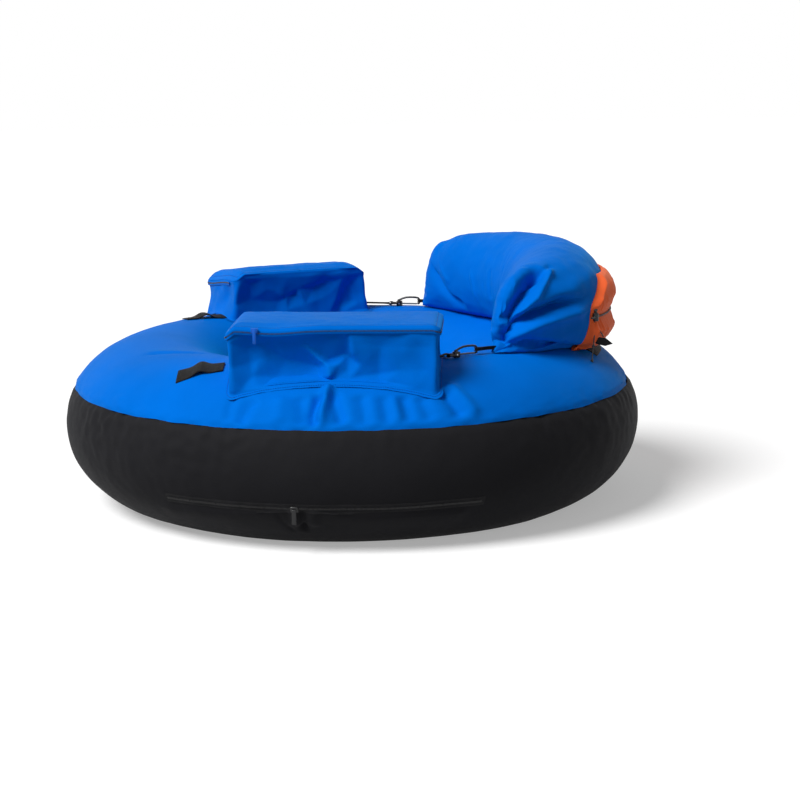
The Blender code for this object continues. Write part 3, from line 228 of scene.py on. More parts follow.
STRAND_SLANT = math.radians(35.0)


def smooth_route(points, spacing):
    """A smooth curve through chosen points, stepped evenly."""
    points = [Vector(point) for point in points]
    ends = [points[0] * 2 - points[1], *points, points[-1] * 2 - points[-2]]
    route = []
    for a, b, c, d in zip(ends, ends[1:], ends[2:], ends[3:]):
        count = max(1, round((c - b).length / spacing))
        for step in range(count):
            t = step / count
            route.append(((b * 2) + (c - a) * t + (a * 2 - b * 5 + c * 4 - d) * t ** 2
                          + (b * 3 - a - c * 3 + d) * t ** 3) / 2)
    route.append(points[-1])
    return route


def round_outline(diameter, sides):
    """A round section, as steps across and up."""
    return [(diameter / 2 * math.cos(2 * math.pi * side / sides),
             diameter / 2 * math.sin(2 * math.pi * side / sides)) for side in range(sides)]


def show(name, form, material, body=None, node=None, smooth=True):
    """Put a finished form on stage, riding on a body and standing for nodes of the frame."""
    if not smooth:
        bmesh.ops.recalc_face_normals(form, faces=form.faces)
    mesh = bpy.data.meshes.new(name)
    form.to_mesh(mesh)
    form.free()
    if smooth:
        mesh.shade_smooth()
    item = bpy.data.objects.new(name, mesh)
    scene_objects.link(item)
    mesh.materials.append(material)
    if body:
        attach(item, body)
    if node:
        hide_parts(*([node] if isinstance(node, str) else node))
    return item


def swept(form, route, outline, up):
    """Carry a section along a route, with its pattern laid along it in metres."""
    marks = form.loops.layers.uv.get("cloth") or form.loops.layers.uv.new("cloth")
    loops = []
    travel = [0.0]
    girth = [0.0]
    for a, b in zip(outline, outline[1:] + outline[:1]):
        girth.append(girth[-1] + math.dist(a, b))
    for index, spot in enumerate(route):
        before = route[max(index - 1, 0)]
        after = route[min(index + 1, len(route) - 1)]
        heading = (after - before).normalized()
        lift = up[index] if isinstance(up, list) else up
        across = heading.cross(lift).normalized()
        lift = across.cross(heading).normalized()
        loops.append([form.verts.new(spot + across * x + lift * z) for x, z in outline])
        if index:
            travel.append(travel[-1] + (spot - route[index - 1]).length)
    for index, (loop, following) in enumerate(zip(loops, loops[1:])):
        for side in range(len(loop)):
            after = (side + 1) % len(loop)
            face = form.faces.new((loop[side], loop[after], following[after], following[side]))
            for corner, mark in zip(face.loops, ((index, side), (index, side + 1),
                                                 (index + 1, side + 1), (index + 1, side))):
                corner[marks].uv = (travel[mark[0]], girth[mark[1]])
    form.faces.new(loops[0])
    form.faces.new(loops[-1])
    bmesh.ops.recalc_face_normals(form, faces=form.faces)


def new_finish(name):
    """A new material, and a short way to add its nodes."""
    material = bpy.data.materials.new(name)
    material.use_nodes = True
    return material, partial(add_node, material.node_tree)


def finished(material, inputs):
    set_inputs(material.node_tree, material.node_tree.nodes["Principled BSDF"], inputs)
    return material


def toned(add, factor, colour, dark, light=1.0, low=0.0, high=1.0):
    """A colour that runs between two shares of itself as a factor rises from low to high."""
    tone = add("ValToRGB", 0, {"Fac": factor})
    for element, share, position in zip(tone.node.color_ramp.elements, (dark, light), (low, high)):
        element.position = position
        element.color = (*[part * share for part in colour], 1.0)
    return tone


def bumped(add, height, distance, strength, under=None):
    """Relief from a height, laid over another relief if one is given."""
    relief = {"Distance": distance, "Strength": strength, "Height": height}
    return add("Bump", 0, relief | ({"Normal": under} if under else {}))


def grain(add, scale, detail=2.0, roughness=0.5):
    """Noise that is fixed to the piece."""
    return add("TexNoise", "Fac", {"Vector": add("TexCoord", "Object"), "Scale": scale,
                                   "Detail": detail, "Roughness": roughness})


def braid(name, colour):
    """Braided cord: crossing strands along the cord's own pattern, dull and a little hairy."""
    material, add = new_finish(name)
    marks = add("UVMap", uv_map="cloth")
    strands = []
    for turn in (STRAND_SLANT, -STRAND_SLANT):
        turned = add("Mapping", 0, {"Vector": marks, "Rotation": (0.0, 0.0, turn)})
        strands.append(add("TexWave", "Fac", {"Vector": turned, "Scale": 300.0}))
    crossing = add("Math", 0, dict(enumerate(strands)), operation="MAXIMUM")
    return finished(material, {"Base Color": toned(add, crossing, colour, 0.55),
                               "Normal": bumped(add, crossing, 0.0002, 0.7),
                               "Roughness": 0.7, "Sheen Weight": 0.2})


black_braid = braid("black_braid", (0.016, 0.016, 0.018))


def knotted_cord(name, points, knots, node):
    """A thin hanging cord, thicker where it is knotted."""
    route = smooth_route(points, TAIL_SPACING)
    form = bmesh.new()
    swept(form, route, round_outline(TAIL_DIAMETER, TAIL_SIDES), Vector((1.0, 0.0, 0.0)))
    for knot in knots:
        place = route[round(knot * (len(route) - 1))]
        made = bmesh.ops.create_icosphere(form, subdivisions=2, radius=KNOT_RADIUS,
                                          matrix=Matrix.Translation(place))
        for vert in made["verts"]:
            offset = vert.co - place
            swirl = 1.0 + 0.16 * math.sin(3.0 * math.atan2(offset.y, offset.x)
                                          + offset.z / KNOT_RADIUS * 2.2)
            vert.co = place + offset * swirl
    return show(name, form, black_braid, "backrest", node), route


long_tail, long_route = knotted_cord("long_tail", LONG_TAIL, LONG_TAIL_KNOTS, "cord_tail_long")
short_tail, short_route = knotted_cord("short_tail", SHORT_TAIL, (), "cord_tail_short")


def woven(add, along, across):
    """Threads that cross on the piece's own pattern, at a pitch along it and one across."""
    waves = []
    for axis, pitch in (("X", along), ("Y", across)):
        place = add("SeparateXYZ", axis, {"Vector": add("UVMap", uv_map="cloth")})
        phase = add("Math", 0, {0: place, 1: 2 * math.pi / pitch}, operation="MULTIPLY")
        waves.append(add("Math", 0, {0: phase}, operation="SINE"))
    return add("Math", 0, dict(enumerate(waves)), operation="MULTIPLY")


def ribbed(name, colour, rib=0.0011, sheen=0.04):
    """Woven webbing: ribs along the strap, a fine herringbone, lighter worn edges."""
    material, add = new_finish(name)
    return finished(material, {
        "Base Color": toned(add, grain(add, 38.0, 4.0), colour, 0.75, 1.5, 0.3, 0.75),
        "Normal": bumped(add, woven(add, rib, rib * 0.8), 0.00025, 0.6),
        "Roughness": 0.65, "Specular IOR Level": 0.08, "Sheen Weight": sheen})


black_webbing = ribbed("black_webbing", (0.0085, 0.0082, 0.0085))

tab_form = bmesh.new()
tab_form.faces.new([tab_form.verts.new((across, 0.0, up)) for across, up in PULL_TAB_OUTLINE])
tab_made = bmesh.ops.extrude_face_region(tab_form, geom=tab_form.faces[:])
tab_moved = [part for part in tab_made["geom"] if isinstance(part, bmesh.types.BMVert)]
bmesh.ops.translate(tab_form, verts=tab_moved, vec=(0.0, PULL_TAB_THICKNESS, 0.0))
bmesh.ops.translate(tab_form, verts=tab_form.verts, vec=(0.0, -PULL_TAB_THICKNESS / 2, 0.0))
bmesh.ops.bevel(tab_form, geom=tab_form.edges[:], offset=0.0008, segments=2, profile=0.5,
                affect="EDGES", material=-1)
bmesh.ops.subdivide_edges(tab_form, edges=tab_form.edges[:], cuts=1, use_grid_fill=True)
bmesh.ops.transform(tab_form, verts=tab_form.verts, matrix=Matrix.Translation(PULL_TAB_PLACE)
                    @ Matrix.Rotation(PULL_TAB_SLANT, 4, "Z"))
tab_marks = tab_form.loops.layers.uv.new("cloth")
for tab_face in tab_form.faces:
    for corner in tab_face.loops:
        corner[tab_marks].uv = (corner.vert.co.x, corner.vert.co.z)
pull_tab = show("pull_tab", tab_form, black_webbing, "backrest", "cord_pull_tab",
                smooth=False)


# Ring covers
# Two coated pack-cloth shells sewn together along the outer seam and round the hole, and
# blown tight by the bladder inside. The upper is blue, the lower black and lies flat on the
# floor. Both pucker at the seam, and the upper folds where the near pocket pulls on it.
RING_RADIUS = 0.38
RING_HALF_WIDTH = 0.18
RING_HALF_HEIGHT = 0.161
RING_CENTRE_HEIGHT = 0.156
OUTER_SEAM = math.radians(26.0)
COVER_STEPS = (900, 100)
SEAM_TUCK = 0.0030
SEAM_TUCK_SHARE = 0.012
SECTION_RADIUS = 0.17
# Scallops of the outer seam: height, how soon they fade, pitch and seed
SCALLOP = (0.0016, 0.01, 0.045, 7.0)
BLUE = (0.0, 0.138, 0.620)
BLACK = (0.0150, 0.0150, 0.0170)
# Each fold in mm: its line, its spread to either side and its height
UPPER_FOLDS = (
    (((-95, -462, 300), (-100, -472, 290), (-108, -489, 272), (-116, -507, 252),
      (-120, -523, 230)), 8, 10, 9),
    (((-114, -478, 284), (-121, -491, 268), (-130, -506, 249), (-128, -521, 230)), 7, 11, -11),
    (((-94, -476, 290), (-91, -495, 270), (-86, -512, 252), (-82, -528, 233)), 10, 14, -8),
    (((-225, -450, 275), (-238, -458, 258), (-250, -467, 241), (-256, -471, 231)), 10, 16, -5),
    (((-262, -428, 274), (-271, -443, 253), (-275, -458, 232)), 9, 9, -3),
    (((-149, -470, 281), (-149, -494, 258), (-150, -515, 231)), 12, 14, -5),
    (((-180, -462, 279), (-186, -478, 258), (-190, -497, 233)), 14, 14, 3),
    (((-45, -487, 281), (-43, -511, 260), (-41, -532, 231)), 10, 16, -5),
    (((-8, -494, 279), (-6, -517, 256), (-5, -536, 231)), 12, 12, -4),
    (((10, -494, 279), (12, -515, 256), (14, -536, 231)), 10, 10, 3),
    (((26, -494, 279), (30, -514, 258), (34, -532, 233)), 12, 12, -5),
    (((57, -495, 276), (65, -513, 256), (73, -528, 234)), 12, 14, -4),
    (((100, -478, 284), (108, -494, 270), (118, -503, 256), (130, -518, 234)), 12, 14, -7),
    (((112, -465, 287), (122, -480, 277), (139, -496, 258), (158, -511, 234)), 13, 12, 5),
    (((-412, -135, 307), (-390, -150, 311), (-366, -166, 315), (-340, -179, 315),
      (-317, -190, 314), (-290, -226, 314)), 4, 14, -3),
)
LOWER_FOLDS = (
    (((-400, -340, 70), (-378, -373, 71), (-327, -420, 75), (-267, -462, 78), (-209, -495, 84),
      (-180, -508, 88)), 3.5, 30, 3.5),
    (((-150, -517, 88), (-107, -526, 84), (-73, -532, 82), (-34, -534, 76), (15, -534, 74),
      (87, -525, 73), (124, -517, 74), (150, -507, 72)), 3.5, 30, 3.5),
    (((-155, -516, 94), (-154, -508, 75), (-149, -490, 50), (-146, -478, 40)), 7, 7, -11),
    (((-172, -510, 92), (-166, -502, 74), (-158, -486, 50)), 12, 7, 7),
    (((-199, -500, 89), (-190, -494, 73), (-172, -478, 47), (-160, -470, 36)), 4, 5, -4),
    (((-135, -520, 92), (-134, -512, 74), (-130, -494, 50)), 10, 8, 4),
)
# Each cover: the section angle it runs over, its rumples (height, pitch, seed), the gathers that
# run from the outer seam (height, fade, slant, pitch, seed), where they are stronger (centre and
# half width in degrees), and its folds
UPPER_COVER = {"sweep": math.pi - OUTER_SEAM, "folds": UPPER_FOLDS, "fold_share": 1.3,
               "rumples": ((0.0022, 0.16, 3.0), (0.0007, 0.05, 5.0)),
               "gathers": ((0.0020, 0.022, 6.0, 0.026, 1.0), (0.0016, 0.07, 3.0, 0.060, 2.0)),
               "gathered": 1.0, "gathered_more": (), "scallop_run": 1.0}
LOWER_COVER = {"sweep": -math.pi - OUTER_SEAM, "folds": LOWER_FOLDS, "fold_share": 1.0,
               "rumples": ((0.0018, 0.15, 11.0), (0.0005, 0.05, 12.0)),
               "gathers": ((0.0030, 0.060, 2.0, 0.020, 13.0), (0.0012, 0.13, 1.5, 0.045, 14.0)),
               "gathered": 0.45, "scallop_run": 0.0,
               "gathered_more": ((-140.0, 26.0, 1.5), (-42.0, 26.0, 0.7), (60.0, 50.0, 0.5))}


def smooth_step(low, high, value):
    share = np.clip((value - low) / (high - low), 0.0, 1.0)
    return share * share * (3.0 - 2.0 * share)


def between(ends, share):
    return ends[0] + (ends[1] - ends[0]) * share


def polar(radius, azimuth, height):
    """Places at distances from the ring's axis, azimuths and heights."""
    return np.stack(np.broadcast_arrays(radius * np.cos(azimuth), radius * np.sin(azimuth),
                                        height), axis=-1)


def upright(height):
    return polar(0.0, 0.0, height)


def vectors(spots):
    return [Vector(spot) for spot in spots]


def ring_outward(azimuth, angle):
    """The ring's outward direction at an azimuth and section angle."""
    across = np.cos(angle) * RING_HALF_HEIGHT
    rise = np.sin(angle) * RING_HALF_WIDTH
    length = np.hypot(across, rise)
    return polar(across / length, azimuth, rise / length)


def ring_skin(azimuth, angle, lift=0.0, back=0.0):
    """Points on the ring's skin, raised along the normal, or on a ring that stands back."""
    spots = polar(RING_RADIUS + (RING_HALF_WIDTH - back) * np.cos(angle), azimuth,
                  RING_CENTRE_HEIGHT + (RING_HALF_HEIGHT - back) * np.sin(angle))
    spots = spots + ring_outward(azimuth, angle) * np.asarray(lift)[..., None]
    spots[..., 2] = np.maximum(spots[..., 2], 0.0)
    return spots


def rumple(spots, pitch, seed=0.0):
    """Soft unevenness, the same at each run, for an array of places."""
    return np.array([noise.noise(Vector(spot) / pitch + Vector((seed, -seed, seed)))
                     for spot in spots])


def rumpled(spots, layers):
    """Unevenness in layers, each with its height, pitch and seed."""
    return sum(height * rumple(spots, pitch, seed) for height, pitch, seed in layers)


def all_round(around):
    """The azimuth at a share of the way round, from the bow."""
    return (around - 0.5) * 2 * math.pi


def fold_heights(spots, outward, folds):
    """How far each place rises or sinks from folds that run along chosen lines."""
    total = np.zeros(len(spots))
    for line, left, right, height in folds:
        line = np.array(line) / 1000
        nearest = np.full(len(spots), np.inf)
        side = np.zeros(len(spots))
        along = np.zeros(len(spots))
        for index, (start, end) in enumerate(zip(line, line[1:])):
            step = end - start
            share = np.clip(((spots - start) @ step) / (step @ step), 0.0, 1.0)
            gap = spots - (start + share[:, None] * step)
            distance = np.linalg.norm(gap, axis=1)
            closer = distance < nearest
            nearest = np.where(closer, distance, nearest)
            lean = np.einsum("ij,ij->i", np.cross(outward, step), gap)
            side = np.where(closer, lean, side)
            along = np.where(closer, (index + share) / (len(line) - 1), along)
        spread = np.where(side > 0, left, right) / 1000
        fade = smooth_step(-0.001, 0.2, along) * (1.0 - smooth_step(0.82, 1.001, along))
        total += height / 1000 * fade * np.exp(-(nearest / spread) ** 2)
    return total


def cloth_grid(steps, size, place):
    """A grid of cloth whose points go where place() puts them, its pattern in metres."""
    form = bmesh.new()
    form.loops.layers.uv.new("cloth")
    bmesh.ops.create_grid(form, x_segments=steps[0], y_segments=steps[1], size=0.5,
                          calc_uvs=True)
    mesh = bpy.data.meshes.new("cloth")
    form.to_mesh(mesh)
    spots = np.empty(len(mesh.vertices) * 3, dtype=np.float32)
    mesh.vertices.foreach_get("co", spots)
    spots = spots.reshape(-1, 3).astype(float) + 0.5
    placed = place(spots[:, 0], spots[:, 1])
    mesh.vertices.foreach_set("co", placed.astype(np.float32).ravel())
    marks = np.empty(len(mesh.loops) * 2, dtype=np.float32)
    mesh.uv_layers["cloth"].uv.foreach_get("vector", marks)
    marks = marks.reshape(-1, 2) * np.array(size, dtype=np.float32)
    mesh.uv_layers["cloth"].uv.foreach_set("vector", marks.ravel())
    form.clear()
    form.from_mesh(mesh)
    bpy.data.meshes.remove(mesh)
    bmesh.ops.remove_doubles(form, verts=form.verts, dist=1e-5)
    bmesh.ops.recalc_face_normals(form, faces=form.faces)
    return form


def window(azimuth, centre, half):
    """One inside a stretch of the ring, fading to nothing at its ends, in degrees."""
    away = np.abs((np.degrees(azimuth) - centre + 180.0) % 360.0 - 180.0)
    return 1.0 - smooth_step(half * 0.6, half, away)


def gathers(azimuth, depth, pitch, seed):
    """Fine ridges that run down from the outer seam and die out, at a pitch in metres."""
    return rumple(polar(1.0, azimuth, depth * 0.9) * (RING_RADIUS + RING_HALF_WIDTH), pitch, seed)


def cover_place(cover, around, down):
    """A cover's places: rumpled, gathered and drawn in at its seams, and folded where pulled."""
    azimuth = all_round(around)
    angle = OUTER_SEAM + cover["sweep"] * down
    depth = abs(cover["sweep"]) * SECTION_RADIUS * down
    spots = ring_skin(azimuth, angle)
    lift = rumpled(spots, cover["rumples"])
    strength = cover["gathered"] + sum(more * window(azimuth, centre, half)
                                       for centre, half, more in cover["gathered_more"])
    for height, fade, run, pitch, seed in cover["gathers"]:
        ridges = gathers(azimuth, depth * run, pitch, seed)
        lift += strength * height * np.exp(-depth / fade) * ridges
    lift += cover["fold_share"] * fold_heights(spots, ring_outward(azimuth, angle), cover["folds"])
    for away in (down, 1.0 - down):
        lift -= SEAM_TUCK * np.exp(-(away / SEAM_TUCK_SHARE) ** 2)
    height, fade, pitch, seed = SCALLOP
    ridges = gathers(azimuth, depth * cover["scallop_run"], pitch, seed)
    scallop = height * np.exp(-depth / fade) * ridges
    return ring_skin(azimuth, angle - scallop / SECTION_RADIUS, lift)


def pack_cloth(name, colour, tint, roughness=0.5, gloss=0.35, sheen=0.15, thread=0.0009):
    """Coated plain-weave nylon: fine crossing threads, soft cloudy gloss, faint dust."""
    material, add = new_finish(name)
    fine = grain(add, 130.0, 3.0)
    return finished(material, {
        "Base Color": toned(add, grain(add, 6.0, 5.0, 0.6), colour, 0.92, 1.06, 0.30, 0.72),
        "Roughness": add("MapRange", "Result", {"Value": fine, "To Min": roughness - 0.06,
                                                "To Max": roughness + 0.08}),
        "Normal": bumped(add, woven(add, 2 * thread, 2 * thread), 0.00012, 0.35,
                         bumped(add, fine, 0.0008, 0.25)),
        "Specular IOR Level": gloss, "Specular Tint": (*tint, 1.0),
        "Sheen Weight": sheen, "Sheen Tint": (*tint, 1.0), "Sheen Roughness": 0.45})


blue_cloth = pack_cloth("blue_cloth", BLUE, (0.0, 0.60, 1.0), roughness=0.55, gloss=0.035,
                        sheen=0.16)
black_cloth = pack_cloth("black_cloth", BLACK, (1.0, 0.98, 1.0), roughness=0.60, gloss=0.03,
                         sheen=0.0)
OUTER_GIRTH = 2 * math.pi * (RING_RADIUS + RING_HALF_WIDTH)
form = cloth_grid(COVER_STEPS, (OUTER_GIRTH, 0.46), partial(cover_place, UPPER_COVER))
show("upper_cover", form, blue_cloth, "tube", "top_cover")
form = cloth_grid(COVER_STEPS, (OUTER_GIRTH, 0.61), partial(cover_place, LOWER_COVER))
lower_cover = show("lower_cover", form, black_cloth, "tube",
                   ("bottom_cover", "inner_bottom_cover"))

# Pockets
# Two zipped tackle pockets of the same blue pack cloth, sewn to the ring by a folded flange
# and open on top under a lid. Their walls are unsupported, so they sag and crease.
RING_TOP = RING_CENTRE_HEIGHT + RING_HALF_HEIGHT
POCKET_TOP = 0.3965
POCKET_INNER_RADIUS = 0.293
POCKET_HALF_DEPTH = 0.0885
POCKET_CORNER = 0.012
POCKET_RISE = 0.083
POCKET_STEPS = (330, 120)
POCKET_AZIMUTH = {"left": math.radians(-101.0), "right": math.radians(106.0)}
POCKET_HALF_LENGTH = {"left": 0.185, "right": 0.155}
POCKET_END_SLOPE = {"left": -0.004, "right": 0.010}
POCKET_SHIFT = {"left": -0.001, "right": -0.012}
# How far the top droops at the low end and at the high end, and over what length
POCKET_DROOP = {"left": ((0.014, 0.020), (0.005, 0.016)), "right": ((0.013, 0.024), (0.014, 0.022))}
POCKET_SLUMP = {"left": (0.0, 0.0010), "right": (-0.0090, 0.0050)}
POCKET_DIP = {"left": 0.0050, "right": 0.0}
# Rows of a pocket's cloth: share of the rows, how far in from the wall, and level
POCKET_ROWS = ((0.0, -0.0080, 0.0), (0.05, -0.0012, 0.0), (0.075, 0.0, 0.035), (0.50, 0.0, 0.985),
               (0.515, 0.0010, 1.0), (0.53, 0.0030, 0.985), (0.88, 0.0030, 0.03),
               (0.90, 0.0040, 0.0), (1.0, POCKET_HALF_DEPTH, 0.0))
# Unevenness of the pockets' parts: height, pitch and seed
WALL_SAG = ((0.020, 0.045, 21.0),)
WALL_RUMPLE = ((0.0016, 0.030, 22.0),)
FLANGE_RUMPLE = ((0.0012, 0.014, 23.0),)
FLOOR_RUMPLE = ((0.0012, 0.05, 24.0),)
RING_CLEARANCE = 0.0012
CLOTH_CLEARANCE = 0.0006
SEWN_ROW = 0.028
SEWN_POINTS = 400
STITCH_WIDTH = 0.0007
CREASE_DEPTH = {"left": 1.35, "right": 0.75}
# Creases of each pocket's showing wall, in mm: along it, height, how far drawn in
NEAR_CREASES = (
    (-187, 400, 0), (-187, 369, 0), (-189, 322, 0), (-189, 270, -2), (-154, 384, 4),
    (-151, 357, 17), (-147, 330, 18), (-145, 307, 12), (-152, 394, 1), (-110, 393, 0),
    (-58, 392, 0), (17, 397, 0), (124, 395, 0), (183, 394, 0), (183, 400, 0), (-108, 365, 12),
    (-58, 366, 12), (-30, 383, 6), (17, 390, 2), (-108, 347, 22), (-87, 334, 25), (-30, 321, 25),
    (-9, 332, 23), (24, 345, 19), (-127, 365, 16), (-127, 338, 19), (27.5, 386, 1), (33, 350, 3),
    (-101, 302, 18), (-58, 301, 18), (-33, 300, 16), (-162, 285, 0), (-124, 287, 0),
    (-75, 285, 0), (-30, 284, 0), (20, 284, 0), (87, 281, 0), (134, 278, 0), (183, 274, 0),
    (-12, 329, 8), (-9, 306, 1), (-20, 303, 12), (1, 303, 8), (7, 330, 9), (24, 318, 12),
    (29, 304, 8), (47, 370, 3), (82, 360, 6), (117, 360, 5), (168, 360, 1), (47, 326, 7),
    (78, 310, 13), (89, 296, 6), (117, 318, 6), (168, 318, 1), (183, 330, 0),
)
FAR_CREASES = (
    (150, 400, 0), (150, 340, 0), (150, 270, 0), (118, 396, 0), (100, 388, 12), (96, 352, 16),
    (112, 330, 6), (110, 300, 4), (75, 392, 2), (20, 394, 0), (-60, 394, 0), (-118, 392, 0),
    (80, 360, 10), (66, 372, 4), (58, 345, 18), (48, 368, 6), (66, 318, 14), (44, 318, 14),
    (20, 355, 8), (35, 345, 17), (0, 358, 18), (-45, 370, 17), (-70, 378, 12), (28, 354, 6),
    (-5, 368, 6), (-45, 381, 5), (20, 325, 6), (-20, 335, 4), (-60, 345, 4), (-80, 355, 4),
    (-108, 385, 2), (-96, 350, 4), (-78, 315, 4), (-70, 300, 3), (-112, 360, 16), (-104, 330, 18),
    (-98, 305, 14), (-125, 370, 14), (-128, 335, 15), (-118, 318, 6), (-140, 330, 4),
    (-155, 395, 0), (-165, 340, 0), (-168, 270, 0), (50, 275, 0), (-40, 275, 0), (-110, 275, 0),
    (100, 275, 0),
)


def creased(table, softness=0.0035):
    """A panel of cloth that is drawn in at chosen points, with flat facets between them."""
    table = np.array(table) / 1000
    found = geometry.delaunay_2d_cdt([Vector(row[:2]) for row in table], [], [], 0, 1e-6)
    corners = np.array([tuple(vert) for vert in found[0]])
    order = [origins[0] for origins in found[3]]
    drawn = table[order, 2]

    def depth(along, level):
        total = np.zeros(len(along))
        for shift_along, shift_level in ((0, 0), (softness, 0), (-softness, 0),
                                         (0, softness), (0, -softness)):
            spots = np.stack((along + shift_along, level + shift_level), axis=-1)
            spots = np.clip(spots, corners.min(axis=0) + 1e-5, corners.max(axis=0) - 1e-5)
            value = np.zeros(len(spots))
            for face in found[2]:
                a, b, c = corners[list(face)]
                across, up = b - a, c - a
                scale = across[0] * up[1] - across[1] * up[0]
                offset = spots - a
                second = (offset[:, 0] * up[1] - offset[:, 1] * up[0]) / scale
                third = (across[0] * offset[:, 1] - across[1] * offset[:, 0]) / scale
                inside = (second >= -1e-6) & (third >= -1e-6) & (second + third <= 1 + 1e-6)
                blend = (drawn[face[0]] * (1 - second - third) + drawn[face[1]] * second
                         + drawn[face[2]] * third)
                value = np.where(inside, blend, value)
            total += value / 5
        return total

    return depth


CREASES = {"left": (creased(NEAR_CREASES), 1.0), "right": (creased(FAR_CREASES), -1.0)}


def ring_top_height(x, y):
    """Height of the ring's upper skin over places on the floor."""
    share = (np.hypot(x, y) - RING_RADIUS) / RING_HALF_WIDTH
    return RING_CENTRE_HEIGHT + RING_HALF_HEIGHT * np.sqrt(np.maximum(0.0, 1.0 - share ** 2))


def rounded_box(around, half_x, half_y, corner):
    """Places and outward directions around an upright box with round corners."""
    straight_x = 2 * (half_x - corner)
    straight_y = 2 * (half_y - corner)
    bend = corner * math.pi / 2
    travel = around * (2 * (straight_x + straight_y) + 4 * bend)
    stretches = ((straight_y / 2, -1, 0, 0, -1), (straight_x, 0, -1, 1, 0),
                 (straight_y, 1, 0, 0, 1), (straight_x, 0, 1, -1, 0),
                 (straight_y / 2, -1, 0, 0, -1))
    x = np.zeros_like(travel)
    y = np.zeros_like(travel)
    out_x = np.zeros_like(travel)
    out_y = np.zeros_like(travel)
    start = np.zeros_like(travel)
    for index, (length, face_x, face_y, step_x, step_y) in enumerate(stretches):
        length = np.broadcast_to(length, travel.shape)
        here = (travel >= start) & (travel <= start + length)
        middle = 0.0 if index == 0 else (length if index == 4 else length / 2)
        along = travel - start - middle
        x = np.where(here, face_x * half_x + step_x * along, x)
        y = np.where(here, face_y * half_y + step_y * along, y)
        out_x = np.where(here, face_x, out_x)
        out_y = np.where(here, face_y, out_y)
        start = start + length
        if index < 4:
            turn = (travel - start) / np.maximum(corner, 1e-6)
            here = (travel > start) & (travel < start + bend)
            angle = math.pi + index * math.pi / 2 + turn
            sign_x = -1 if index in (0, 3) else 1
            sign_y = -1 if index in (0, 1) else 1
            x = np.where(here, sign_x * (half_x - corner) + corner * np.cos(angle), x)
            y = np.where(here, sign_y * (half_y - corner) + corner * np.sin(angle), y)
            out_x = np.where(here, np.cos(angle), out_x)
            out_y = np.where(here, np.sin(angle), out_y)
            start = start + bend
    return x, y, out_x, out_y


def pocket_top(side, along, across):
    """Height of a pocket's rim, with its drooping corners and its dip or slump across."""
    (low_drop, low_reach), (high_drop, high_reach) = POCKET_DROOP[side]
    half = POCKET_HALF_LENGTH[side] - POCKET_END_SLOPE[side]
    low = POCKET_SHIFT[side] - half
    high = POCKET_SHIFT[side] + half
    drop = low_drop * (1.0 - smooth_step(low - 0.004, low + low_reach, along))
    drop = drop + high_drop * smooth_step(high - high_reach, high + 0.004, along)
    low_slump, high_slump = POCKET_SLUMP[side]
    slump = low_slump + (high_slump - low_slump) * smooth_step(-0.06, POCKET_HALF_DEPTH, across)
    dip = (POCKET_DIP[side] * np.exp(-((along + 0.105) / 0.05) ** 2)
           * smooth_step(0.02, POCKET_HALF_DEPTH, across))
    return POCKET_TOP - drop - slump - dip


def pocket_to_ring(side, x, y, z):
    """Places in a pocket's own frame, turned to where it sits on the ring."""
    turn = POCKET_AZIMUTH[side]
    return np.stack((x * math.cos(turn) - y * math.sin(turn),
                     x * math.sin(turn) + y * math.cos(turn), z), axis=-1)


def inset_box(around, half_y, inset):
    """The pocket's outline, drawn in by inset."""
    half_x = np.maximum(POCKET_HALF_DEPTH - inset, 0.0)
    corner = np.minimum(np.maximum(POCKET_CORNER - inset, 0.0), half_x)
    return rounded_box(around, half_x, half_y - inset, corner)


def pocket_place(side, around, rows):
    """A pocket's cloth, from its flange up the wall, over the rim and down inside."""
    table = np.array(POCKET_ROWS)
    inset = np.interp(rows, table[:, 0], table[:, 1])
    level = np.interp(rows, table[:, 0], table[:, 2])
    height = RING_TOP - 0.01 + level * POCKET_RISE
    half_y = (POCKET_HALF_LENGTH[side]
              - POCKET_END_SLOPE[side] * (height - RING_TOP) / POCKET_RISE)
    x, y, out_x, out_y = inset_box(around, half_y, inset)
    middle = POCKET_INNER_RADIUS + POCKET_HALF_DEPTH
    y = y + POCKET_SHIFT[side]
    spots = pocket_to_ring(side, x + middle, y, height)
    foot = ring_top_height(spots[:, 0], spots[:, 1]) + RING_CLEARANCE
    foot = foot + CLOTH_CLEARANCE * (rows > 0.55)
    top = pocket_top(side, y, x)
    z = foot + level * (top - foot)
    depth, facing = CREASES[side]
    drawn = CREASE_DEPTH[side] * depth(y, z) * smooth_step(0.25, 0.9, out_x * facing)
    wall = smooth_step(0.0, 0.05, level) * (1.0 - smooth_step(0.90, 0.97, level))
    sag = 0.006 * np.sin(math.pi * level) * (1.0 - smooth_step(0.25, 0.9, out_x * facing))
    sag = sag + level * (1 - level) * rumpled(spots, WALL_SAG)
    showing = np.where(rows < 0.9, 1.0, 0.0)
    push = -(drawn * smooth_step(-0.02, 0.06, level) + sag) * wall * showing
    push = push + rumpled(spots, WALL_RUMPLE) * wall * showing
    x = x + out_x * push + middle
    y = y + out_y * push
    z = (z + (rows < 0.05) * rumpled(spots, FLANGE_RUMPLE)
         + (rows > 0.9) * rumpled(spots, FLOOR_RUMPLE))
    spots = pocket_to_ring(side, x, y, z)
    z = np.maximum(z, ring_top_height(spots[:, 0], spots[:, 1]) + CLOTH_CLEARANCE)
    return pocket_to_ring(side, x, y, z)


def square(heading, out):
    """Three directions: along a route, across it, and out of the cloth."""
    across = heading.cross(out).normalized()
    return heading, across, across.cross(heading)


